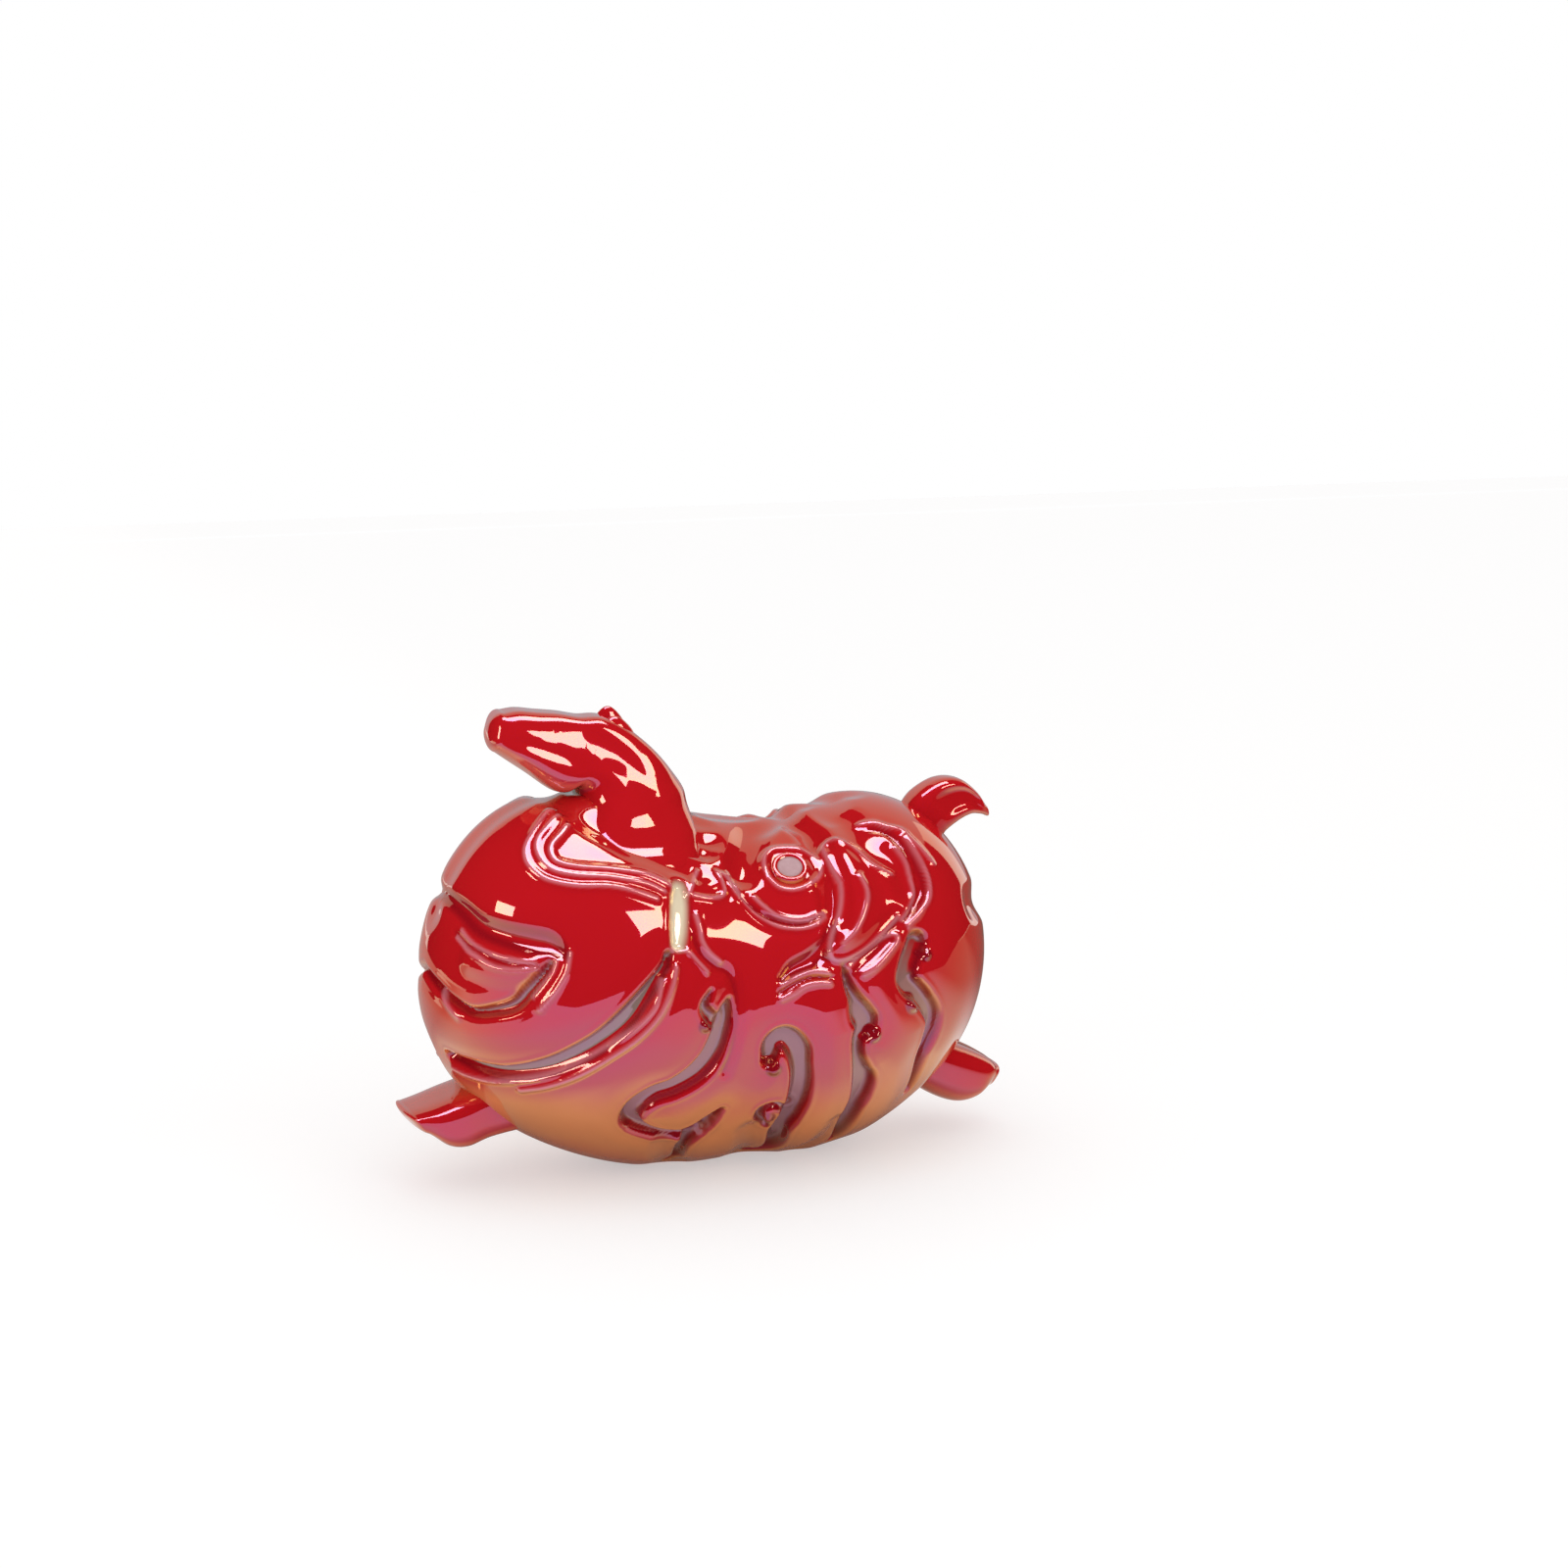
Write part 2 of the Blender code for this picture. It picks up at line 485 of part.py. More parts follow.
def modelled(seat, sections, tip, around, along, squareness):
    """A solid drawn through sections in the middle plane, with a flat root and a round tip."""
    shape = bmesh.new()
    bmesh.ops.create_uvsphere(shape, u_segments=int(around), v_segments=int(along), radius=1.0)
    balls = np.array([corner.co[:] for corner in shape.verts])
    way = np.arccos(np.clip(balls[:, 2], -1.0, 1.0)) / np.pi
    turn = np.arctan2(balls[:, 1], balls[:, 0])
    root_share = 1.0 / along
    tip_share = TIP_ROWS / along
    share = (way - root_share) / (1.0 - root_share - tip_share)
    at = section_at(sections, share)
    cap = np.clip((way - (1.0 - tip_share)) / tip_share, 0.0, 1.0) * np.pi / 2
    size = np.cos(cap) * np.sin(np.clip(way / root_share, 0.0, 1.0) * np.pi / 2)
    last, before = np.asarray(sections[-1][:2]), np.asarray(sections[-2][:2])
    heading = (last - before) / np.linalg.norm(last - before)
    corners = np.abs(np.cos(turn)) ** squareness + np.abs(np.sin(turn)) ** squareness
    round_off = corners ** (-1 / squareness)
    lean = np.radians(at[:, 3])
    along_section = round_off * np.cos(turn) * at[:, 2] * size * MM
    across = round_off * np.sin(turn) * at[:, 4] * size * MM
    advance = tip * np.sin(cap)
    back = at[:, 0] * MM + along_section * np.cos(lean) + advance * heading[0]
    high = at[:, 1] * MM + along_section * np.sin(lean) + advance * heading[1]
    places = seat + np.stack([back, across, high], axis=1)
    place_corners(shape, places)
    bmesh.ops.remove_doubles(shape, verts=shape.verts[:], dist=1e-6)
    return shape


def turn_head(shape):
    """Turns what is above the shoulders a little about the neck."""
    pivot = neck_seat[0] + NECK_SECTIONS[2][0] * MM
    for corner in shape.verts:
        share = float(ease((corner.co.z - neck_seat[2] - TURN_START) / (TURN_END - TURN_START)))
        angle = -np.radians(HEAD_TURN) * share
        ahead = corner.co.x - pivot
        aside = corner.co.y
        corner.co.x = pivot + ahead * np.cos(angle) - aside * np.sin(angle)
        corner.co.y = ahead * np.sin(angle) + aside * np.cos(angle)


# The neck and head, in one piece
neck_seat = seat_at_front(NECK_UP)
neck = modelled(neck_seat, NECK_SECTIONS, SNOUT_LENGTH, NECK_ROUND, NECK_LONG, NECK_SQUARENESS)
turn_head(neck)
head = add_object("head_and_neck", neck, glaze("glaze_head", GLAZE_RED, GLAZE_ROUGHNESS))
head_clearance = swollen_copy(head, "head_clearance", JOINT_GAP * GAP_MARGIN)
cut_by(head, barrel_clearance)

# The ears, two small points on the crown
crown = section_at(NECK_SECTIONS, np.array([EAR_STATION]))[0]
crown_lean = np.radians(crown[3])
crown_x = neck_seat[0] + (crown[0] + crown[2] * np.cos(crown_lean)) * MM
crown_z = neck_seat[2] + (crown[1] + crown[2] * np.sin(crown_lean)) * MM
for side, sign, height in (("left", -1, EAR_LEFT_HEIGHT), ("right", 1, EAR_RIGHT_HEIGHT)):
    shape = bmesh.new()
    bmesh.ops.create_cone(shape, cap_ends=True, segments=int(EAR_SIDES), radius1=EAR_BASE_RADIUS,
                          radius2=EAR_BASE_RADIUS * EAR_TAPER, depth=height)
    tops = [edge for edge in shape.edges if min(corner.co.z for corner in edge.verts) > 0]
    bmesh.ops.bevel(shape, geom=tops, offset=EAR_BASE_RADIUS * EAR_TAPER * EAR_ROUNDING, segments=2,
                    affect="EDGES", profile=0.5, material=-1)
    bmesh.ops.scale(shape, verts=shape.verts[:], vec=(1.0, EAR_FLATNESS, 1.0))
    middle = (crown_x, sign * EAR_SPREAD, crown_z - EAR_SINK + height / 2)
    bmesh.ops.translate(shape, verts=shape.verts[:], vec=middle)
    turn_head(shape)
    ear = add_object("ear_" + side, shape, glaze("glaze_ear_" + side, GLAZE_RED, GLAZE_ROUGHNESS))
    cut_by(ear, head_clearance)

# The tail and the two broad feet
for name, seat, sections, tip, around, along, squareness in (
        ("tail", seat_at_back(TAIL_UP), TAIL_SECTIONS, TAIL_TIP_LENGTH,
         TAIL_ROUND, TAIL_LONG, TAIL_SQUARENESS),
        ("foot_front", seat_at_front(FRONT_FOOT_UP), FRONT_FOOT_SECTIONS, TOE_LENGTH,
         FOOT_ROUND, FOOT_LONG, FRONT_FOOT_SQUARENESS),
        ("foot_rear", seat_at_back(REAR_FOOT_UP), REAR_FOOT_SECTIONS, TOE_LENGTH,
         FOOT_ROUND, FOOT_LONG, REAR_FOOT_SQUARENESS)):
    shape = modelled(seat, sections, tip, around, along, squareness)
    piece = add_object(name, shape, glaze("glaze_" + name, GLAZE_RED, GLAZE_ROUGHNESS))
    cut_by(piece, barrel_clearance)

# The bare button on the shoulder
seat = on_barrel(direction(np.array([BUTTON_AROUND]), np.array([BUTTON_UP])))
facing = Vector(outward(seat)[0])
disc = bmesh.new()
bmesh.ops.create_cone(disc, cap_ends=True, segments=int(BUTTON_SIDES), radius1=BUTTON_RADIUS,
                      radius2=BUTTON_RADIUS, depth=BUTTON_SINK + BUTTON_HEIGHT)
rims = [edge for edge in disc.edges if min(corner.co.z for corner in edge.verts) > 0]
bmesh.ops.bevel(disc, geom=rims, offset=BUTTON_HEIGHT / 2, segments=3, affect="EDGES", profile=0.5,
                material=-1)
upright = Vector((0.0, 0.0, 1.0))
tilt = upright.rotation_difference(facing).to_matrix().to_4x4()
bmesh.ops.translate(disc, verts=disc.verts[:], vec=(0.0, 0.0, (BUTTON_HEIGHT - BUTTON_SINK) / 2))
bmesh.ops.transform(disc, matrix=tilt, verts=disc.verts[:])
bmesh.ops.translate(disc, verts=disc.verts[:], vec=seat[0])
button = add_object("flank_button", disc, glaze("glaze_button", GLAZE_RED, GLAZE_ROUGHNESS))
cut_by(button, barrel_clearance)

# The frame's origin lies under the middle of the whole length, from toe to tail tip
toe_end = min(corner.co.x for corner in bpy.data.objects["foot_front"].data.vertices)
tail_end = max(corner.co.x for corner in bpy.data.objects["tail"].data.vertices)
shift = -(toe_end + tail_end) / 2
for thing in bpy.context.collection.objects:
    thing.location.x = shift
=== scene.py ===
"""The dressed model of a glazed horse figurine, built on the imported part."""

import bmesh
import bpy
import numpy as np
from mathutils import Matrix, Vector


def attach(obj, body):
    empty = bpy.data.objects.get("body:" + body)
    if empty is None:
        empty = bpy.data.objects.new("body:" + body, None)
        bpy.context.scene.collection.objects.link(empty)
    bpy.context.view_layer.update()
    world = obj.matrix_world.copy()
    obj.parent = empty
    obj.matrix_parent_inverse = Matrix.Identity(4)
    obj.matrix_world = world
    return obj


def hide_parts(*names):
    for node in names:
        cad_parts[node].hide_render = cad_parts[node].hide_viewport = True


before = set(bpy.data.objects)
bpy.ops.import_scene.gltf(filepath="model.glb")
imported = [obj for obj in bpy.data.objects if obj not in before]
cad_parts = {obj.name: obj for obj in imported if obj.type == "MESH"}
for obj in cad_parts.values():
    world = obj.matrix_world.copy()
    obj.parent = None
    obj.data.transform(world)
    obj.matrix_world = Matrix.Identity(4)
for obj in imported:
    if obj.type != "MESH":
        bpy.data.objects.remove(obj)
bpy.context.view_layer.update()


# The barrel is a hollow body of pale clay, pressed in a left and a right half that are
# luted together. It is carved with channels and rolls while leather hard, and dipped in
# a red lustre glaze that covers the seam. Its sizes are in millimetres and degrees.
MM = 0.001
EGGS = [                      # middle along X, middle height, half length, width, height
    (-41.0, 67.7, 62.0, 53.0, 55.0),
    (-54.0, 92.7, 41.0, 39.0, 44.5),
    (-14.0, 62.2, 61.0, 48.0, 61.5),
    (35.0, 60.7, 49.5, 58.0, 60.0),
    (64.0, 74.7, 42.5, 53.0, 54.5),
]
EGG_BLEND = 9.0               # how softly the eggs run into one another
HEART = np.array([0.0, 0.0, 63.7])
SHIFT = -0.39                 # the frame's origin lies under the middle of the length
FARTHEST = 300.0              # a ray from the heart is out of the barrel by here
HALVINGS = 24                 # how often the search for the surface halves its stretch
PROBE = 0.2                   # the step that a slope of the surface is measured over
PATH_STEP = 0.3               # degrees between the points of a path
PATH_REACH = 18.0             # past this far from a path nothing is carved
FAR_AWAY = 100.0
BATCH = 4000                  # points measured at once, which keeps the memory small
CHANNELS = {                  # depth, wall width, dip beside it, its reach, lip, painted reflection, and a path of points (around, up, half width)
                              # and a path of points (around, up, half width)
    "pad_edge": (2.8, 6.0, 0.8, 9, 0.0, 0.35,
     [(-9, 23.5, 0.7), (0, 23.5, 1.1), (9.5, 22.5, 1.8), (16.5, 20.5, 2.5), (22.5, 20, 2.9),
      (28, 20, 3.2), (32, 20, 2.9), (35.5, 18.5, 0.4)]),
    "lens_groove": (3.2, 2.4, 1.0, 8, 0.2, 1.0,
     [(-3, 9.5, 0.7), (7, 6.5, 1.1), (12, 4.5, 1.1), (17, 3, 1.3), (22, 4, 1.6), (26.5, 6, 2),
      (29.5, 10, 1.8), (31.5, 13, 1.4), (33, 16, 0.7)]),
    "chest_band": (3.4, 2.2, 1.4, 12, 0.3, 3.0,
     [(60, 22.5, 1.1), (59, 18.5, 1.4), (55, 11.5, 2.2), (50, 4, 3.2), (44.5, -2, 3.6),
      (38.5, -6, 3.6), (31.5, -9, 3.2), (22.5, -10.5, 2.5), (15.5, -10, 2.2), (6.5, -8.5, 1.4)]),
    "buckle": (2.2, 3.0, 0.5, 6, 0.4, 0.0,
     [(61, 44.5, 2.2), (62, 39.5, 2.9), (62.5, 32, 2.9), (62.5, 26, 2.2)]),
    "flame_main": (4.2, 2.4, 1.2, 10, 0.35, 1,
     [(80.5, 8, 0), (79, 2, 2.5), (77, -5.5, 3.2), (74, -12.5, 3.6), (68.5, -18.5, 3.9),
      (61, -22, 3.6), (54.5, -23, 3.6), (48.5, -26.5, 3.6), (45.5, -32, 2.9), (49.5, -39, 2.1),
      (58, -45.5, 2.9), (67.5, -46, 3.6), (74, -41.5, 2.1), (79, -37, 0)]),
    "flame_tip": (3.6, 2.4, 0, 1, 0.3, 1,
     [(73.5, 11.5, 0), (71.5, 6, 1.4), (74.5, 1, 2.5)]),
    "flame_tail": (4.0, 2.4, 1.8, 12, 0.3, 1,
     [(67.5, -47.5, 2.9), (61, -53.5, 2.1), (50, -66.5, 1.4), (36.5, -69.5, 1.1)]),
    "scroll": (4.4, 2.4, 1.6, 12, 0.35, 1,
     [(96.5, -17, 2.1), (97.5, -11, 3.2), (101.5, -8.5, 3.9), (105.5, -12.5, 3.9),
      (107.5, -19, 3.2), (109, -25, 3.2), (110.5, -33, 3.2), (111.5, -41.5, 3.2),
      (114.5, -52, 3.2), (130.5, -66.5, 2.5), (128.5, -72.5, 1.4)]),
    "scroll_pocket": (3.6, 2.2, 0, 1, 0.3, 1,
     [(108.5, -38, 1.8), (102.5, -36.5, 1.4), (98, -39, 1.4), (98.5, -43.5, 1.4),
      (103.5, -47.5, 1.1)]),
    "wavy": (4.2, 2.4, 1.8, 12, 0.3, 1,
     [(119.5, 14.5, 0), (120, 8.5, 1.1), (121.5, 3.5, 2.1), (123, -1, 3.9), (124.5, -4.5, 3.9),
      (123, -9, 2.1), (124, -14.5, 1.8), (126.5, -19.5, 2.9), (128.5, -22.5, 3.9),
      (130.5, -27.5, 3.6), (133, -34.5, 3.2), (140, -43, 2.5), (152, -51, 1.4)]),
    "rear_ribbon": (4.0, 2.4, 1.8, 12, 0.35, 1,
     [(138.5, 15, 3.6), (135.5, 10, 3.6), (135, 5.5, 3.9), (139, 0.5, 3.2), (142.5, -4.5, 2.9),
      (143.5, -9.5, 2.9), (144, -15, 2.1), (147, -21, 1.4), (151, -26.5, 1.1)]),
    "hip_groove": (2.4, 3.5, 0.8, 9, 0.3, 0.0,
     [(120, 26, 1.1), (116.5, 22, 1.8), (111, 18.5, 2.2), (105, 16.5, 1.8), (101, 13.5, 0.7)]),
    "dome_valley": (1.8, 2.2, 0.6, 8, 0.0, 0.0,
     [(85.5, 52, 0.5), (89.5, 46, 0.5), (94, 41, 0.5), (98.5, 37, 0.5), (104.5, 34, 0.5),
      (109, 31.5, 0.5), (113.5, 30.5, 0.5), (120, 31, 0)]),
    "rump_ribbon": (2.4, 2.2, 0.6, 8, 0.0, 0.0,
     [(153.5, 44, 0.5), (153.5, 40.5, 0.9), (151.5, 36.5, 1.1), (149.5, 33, 1.1), (147, 29, 1.4),
      (144.5, 25.5, 1.4), (141.5, 23.5, 1.1), (137.5, 21, 0.5)]),
    "finger_slot": (1.8, 2.2, 0, 1, 0.0, 0.0,
     [(132.5, 17.5, 1.1), (129, 15.5, 1.1), (125, 13.5, 1.1), (121.5, 11.5, 0.7)]),
}
GUTTER = "buckle"             # the channel painted with a cream glint of the warm softbox
CREASES = {                   # sharp at the bottom: depth, wall width, path (around, up)
    "lens_crease": (1.6, 2.6,
     [(11, 17.5), (15, 16), (18.5, 15.5), (22.5, 14.5), (26.5, 14.5), (31, 15)]),
    "barrel_edge": (1.8, 5,
     [(65.5, 40.5), (67, 31.5), (70, 24.5), (75, 20.5), (80.5, 17.5), (83, 11), (83, 1),
      (81.5, -10), (78.5, -19.5)]),
    "hip_line": (1.6, 2.2,
     [(99.5, 8.5), (103, 10.5), (107, 12), (110.5, 12.5), (115.5, 11.5)]),
    "leaf_under": (3.2, 7,
     [(115, 18), (120, 15.5), (126, 16.5), (131.5, 19), (136, 22)]),
}
FOLDS = {                     # soft and round at the bottom, with the same columns
    "dome_left": (3.0, 9,
     [(205, 60), (139.5, 70), (106, 63), (93.5, 54)]),
    "dome_right": (3.4, 8,
     [(205.5, 61), (165, 63), (147, 56), (137.5, 49.5), (131, 42.5), (126.5, 36), (122.5, 29.5)]),
    "hump_crease": (2.4, 10,
     [(197.5, 51.5), (165.5, 53.5), (156, 49.5), (150, 45), (146, 40.5), (145.5, 36),
      (144.5, 31.5), (143, 27.5)]),
    "heart": (0.8, 5,
     [(67, 54), (65, 47.5), (67.5, 43), (74.5, 45.5), (81.5, 45), (85, 48.5), (84, 53.5),
      (79.5, 56)]),
    "barrel_fold": (1.4, 9,
     [(65.5, 76.5), (67.5, 66), (71, 57.5)]),
    "belly_fold_front": (2.6, 9,
     [(54, -47), (50, -58), (42, -70)]),
    "belly_fold_middle": (2.6, 9,
     [(99, -50), (105, -60), (118, -72)]),
    "belly_fold_rear": (2.8, 9,
     [(132, -38), (138, -48), (148, -60)]),
    "rump_fold": (2.3, 9,
     [(158, 17), (168, 15), (180, 13.5)]),
    "neck_fold_high": (3.0, 9,
     [(-8, 64.5), (20, 66), (48, 67), (74, 68)]),
    "neck_fold_middle": (3.4, 8,
     [(-8, 62), (20, 62), (48, 62), (72, 62.5)]),
    "neck_fold_low": (2.4, 10,
     [(-8, 52.5), (20, 52.5), (48, 52.5), (68, 53)]),
    "chest_midline": (1.2, 10,
     [(0, 75), (0, 60), (0, 45), (0, 30), (0, 20)]),
    "back_midline": (1.4, 10,
     [(180, 88), (180, 80), (180, 70), (180, 60), (180, 50)]),
}
RIDGES = {                    # height, half width, path of points (around, up)
    "collar_outer": (1.1, 2.4,
     [(13, 49), (15.5, 45), (17, 41.5), (18.5, 38), (21, 35.5), (24.5, 34), (28, 33.5),
      (34, 34.5), (40.5, 37), (46.5, 38), (54, 38)]),
    "collar_inner": (1.1, 2.3,
     [(17, 48.5), (18.5, 44.5), (19.5, 41), (21.5, 38.5), (25, 36.5), (28.5, 36), (33, 37),
      (39.5, 39.5), (44, 40.5), (50, 41.5), (56, 41)]),
    "collar_top": (1.3, 2.8,
     [(22, 47.5), (23, 44.5), (23.5, 41), (25, 39), (27.5, 38), (32, 39), (39.5, 42),
      (49, 44), (58, 43.5)]),
    "chest_bead": (1.6, 2.1,
     [(58.5, 15), (56.5, 7), (51, 0.5), (43, -5.5), (35.5, -9.5), (29, -11.5), (19.5, -12.5),
      (11.5, -12), (6, -11)]),
    "chest_bead_outer": (1.6, 2.1,
     [(62, 19), (61, 13), (57.5, 4.5), (52, -2), (45, -7), (38, -11), (30.5, -13.5),
      (23.5, -14.5)]),
    "dome_rim": (1.1, 2.0,
     [(79, 54), (84, 53), (87, 50.5), (89, 47), (91, 43), (94.5, 39), (98.5, 35.5),
      (103.5, 32), (108.5, 30), (112.5, 29), (116.5, 29), (120, 30.5)]),
    "dome_inner": (1.0, 2.0,
     [(96.5, 44), (100, 40), (104, 36), (109, 33), (113.5, 31.5), (117.5, 31.5), (120.5, 31.5)]),
    "saddle_hook": (1.2, 2,
     [(67, 43), (76, 43.5), (81.5, 46), (81, 50), (79.5, 53)]),
    "saddle_line": (1.2, 2,
     [(86, 54), (86.5, 49), (89, 44.5)]),
    "saddle_spur": (1.1, 2,
     [(65, 43), (67, 49), (69, 53.5)]),
    "pad_swell": (2.0, 8.0,
     [(17, 13.5), (22, 13), (28, 13.5)]),
    "leaf_pad": (2.2, 9.0,
     [(138, 45.5), (134.5, 38), (132, 31), (128, 26), (123, 21.5), (118.5, 18.5)]),
    "leaf_vein": (1.1, 2.2,
     [(135, 36), (133, 31), (129.5, 27), (125, 23), (120.5, 20.5)]),
    "leaf_rim": (1.5, 2.4,
     [(142, 32.5), (141, 37), (143.5, 44), (143, 49.5), (138.5, 49), (133, 43), (129.5, 36.5),
      (124.5, 30), (119, 24), (116.5, 18.5), (119, 16), (125, 17), (132.5, 20.5), (136.5, 22.5)]),
    "ribbon_rim": (1.2, 2.0,
     [(155.5, 47), (156, 44.5), (155.5, 41.5), (156, 38.5), (154.5, 36), (153, 32.5),
      (152, 29)]),
    "ribbon_right": (1.1, 2.0,
     [(154, 37), (151.5, 33.5), (149.5, 30), (147.5, 26.5), (145, 23.5), (141.5, 21.5),
      (137.5, 19.5)]),
    "ribbon_left": (1.0, 2.0,
     [(149.5, 37), (147.5, 33), (145, 29.5), (143, 26), (140, 23.5), (137, 21.5)]),
    "slot_rim": (1.0, 2.0,
     [(120.5, 13.5), (124, 16), (128.5, 18), (131.5, 19), (134, 19), (134, 17), (131, 14.5),
      (127.5, 12), (124, 10.5)]),
    "hip_upper": (1.1, 2.0,
     [(100.5, 11.5), (104, 13), (107, 14), (110.5, 14.5), (115, 13)]),
    "hip_lower": (1.1, 2.0,
     [(100, 6.5), (104, 8), (107.5, 10), (111.5, 10.5), (115, 10)]),
    "lens_upper": (0.8, 2.0,
     [(12.5, 18.5), (15.5, 17), (19, 16), (22.5, 15.5), (26.5, 15.5), (30, 15.5)]),
    "lens_lower": (1.0, 2.0,
     [(11.5, 17), (15, 15.5), (18.5, 14.5), (22, 13.5), (26, 13.5), (30.5, 14.5)]),
    "lens_lip": (1.1, 2.0,
     [(36.5, 19), (36.5, 15), (35.5, 12), (34, 9), (31.5, 5.5)]),
    "lens_lip_inner": (0.8, 2.0,
     [(34, 16.5), (33.5, 14), (32, 11.5), (30, 8)]),
    "button_ring": (1.2, 2.6,
     [(108, 50), (110, 55), (115, 58.5), (121, 59.5), (127, 58), (132, 54.5), (134, 50),
      (131.5, 45.5), (126.5, 42.5), (120.5, 41.5), (114.5, 42.5), (110, 45.5), (108, 50)]),
    "front_dash": (1.0, 2.0,
     [(8, 6), (10.5, 3.5), (13.5, 1.5)]),
    "flank_left": (1.0, 2.0,
     [(68, 36.5), (69.5, 32), (70.5, 28), (73, 24.5), (77, 21.5)]),
    "flank_foot": (1.0, 2.0,
     [(61.5, 24.5), (65.5, 24), (68.5, 21.5), (72, 18)]),
}
BROAD = 5.0                   # a ridge wider than this swells under the others
CURLS = [                     # the two angles, radius, height
    (71.5, -0.5, 2.6, 1.5),
    (98.5, -20.5, 2.8, 1.4),
    (102, -42.5, 2.8, 1.6),
    (126.5, -7.5, 2.8, 1.4),
    (136, 0, 3.4, 1.6),
    (139.5, 11.5, 2.4, 1.2),
]
NECK_DIP = (33.0, 48.0, 20.0, 1.5)    # the two angles, radius, depth
MEETING = 4                   # how sharply two cuts run into one another
CREASE_SHADE = 0.25           # how much painted shade a crease holds for each millimetre of depth
CREASE_SHADE_WIDTH = 1.6      # and how far from its line
FULL_SHADE_DEPTH = 4.0        # the walls of a channel this deep are all painted shade
LIP_WIDTH = 0.8               # the raised line along a channel
CREST_WIDTH = 1.25            # the painted highlight along a thin ridge, and how softly it ends
CREST_FADE = 1.2
BEAD_FLATNESS = 1.4           # over 1, a curl's top is flat


def barrel_field(points):
    """Roughly the distance from the smooth barrel in millimetres, negative inside."""
    total = 0.0
    for middle, height, half_x, half_y, half_z in EGGS:
        offset = points - np.array([middle, 0.0, height])
        halves = np.array([half_x, half_y, half_z])
        size = np.linalg.norm(offset / halves, axis=-1)
        slope = np.linalg.norm(offset / halves ** 2, axis=-1)
        total = total + np.exp(-(size - 1.0) * size / np.maximum(slope, 1e-6) / EGG_BLEND)
    return -EGG_BLEND * np.log(total)


def direction(around, up):
    """The unit vector at an angle round from the front of the chest and an angle up."""
    around = np.radians(around)
    up = np.radians(up)
    level = np.cos(up)
    return np.stack([-level * np.cos(around), -level * np.sin(around), np.sin(up)], axis=-1)


def on_barrel(directions):
    """The points where rays from the heart leave the smooth barrel."""
    near = np.zeros(directions.shape[:-1])
    far = near + FARTHEST
    for _ in range(HALVINGS):
        middle = (near + far) / 2
        inside = barrel_field(HEART + directions * middle[..., None]) < 0
        near = np.where(inside, middle, near)
        far = np.where(inside, far, middle)
    return HEART + directions * near[..., None]


def seat_on(around, up):
    """The point of the smooth barrel at two angles."""
    return on_barrel(direction(np.array([around]), np.array([up])))[0]


def outward(points):
    """Unit normals of the smooth barrel."""
    slopes = []
    for axis in np.eye(3) * PROBE:
        slopes.append(barrel_field(points + axis) - barrel_field(points - axis))
    normals = np.stack(slopes, axis=-1)
    return normals / np.linalg.norm(normals, axis=-1, keepdims=True)


def ease(share):
    """A smooth step from 0 to 1."""
    share = np.clip(share, 0.0, 1.0)
    return share * share * (3.0 - 2.0 * share)


def mound(share):
    """A rounded rise, 1 at its middle and 0 from a share of 1 on."""
    return np.clip(1.0 - share ** 2, 0.0, 1.0) ** 2


def bead(share):
    """A flat-topped round rise, 1 at its middle and 0 at a share of 1."""
    return ease(BEAD_FLATNESS * (1.0 - share))


def between(first, start, end, last, share):
    """A smooth curve's point at a share of the way from start to end, two of four points."""
    return 0.5 * (2 * start + (end - first) * share
                  + (2 * first - 5 * start + 4 * end - last) * share ** 2
                  + (3 * start - first - 3 * end + last) * share ** 3)


def run_on(points):
    """The points with one more before the first and one more after the last."""
    return np.vstack([2 * points[0] - points[1], points, 2 * points[-1] - points[-2]])


def through(points, spacing):
    """A smooth curve through a few points, each a row of numbers."""
    points = np.asarray(points, dtype=float)
    longer = run_on(points)
    stretches = []
    for first, start, end, last in zip(longer, longer[1:], longer[2:], longer[3:]):
        count = max(2, int(np.hypot(*(end - start)[:2]) / spacing) + 1)
        share = np.linspace(0.0, 1.0, count, endpoint=False)[:, None]
        stretches.append(between(first, start, end, last, share))
    stretches.append(points[-1:])
    return np.vstack(stretches)


def distance_to_path(points, path):
    """How far each point lies outside a path's edge, negative within its width."""
    curve = through(path, PATH_STEP)
    half_width = curve[:, 2] if curve.shape[1] > 2 else 0.0
    line = on_barrel(direction(curve[:, 0], curve[:, 1]))
    found = np.full(len(points), FAR_AWAY)
    low = line.min(axis=0) - PATH_REACH
    high = line.max(axis=0) + PATH_REACH
    rows = np.flatnonzero(np.all((points > low) & (points < high), axis=1))
    for some in np.array_split(rows, 1 + len(rows) // BATCH):
        if len(some):
            apart = np.linalg.norm(points[some, None, :] - line[None], axis=2)
            found[some] = (apart - half_width).min(axis=1)
    return found


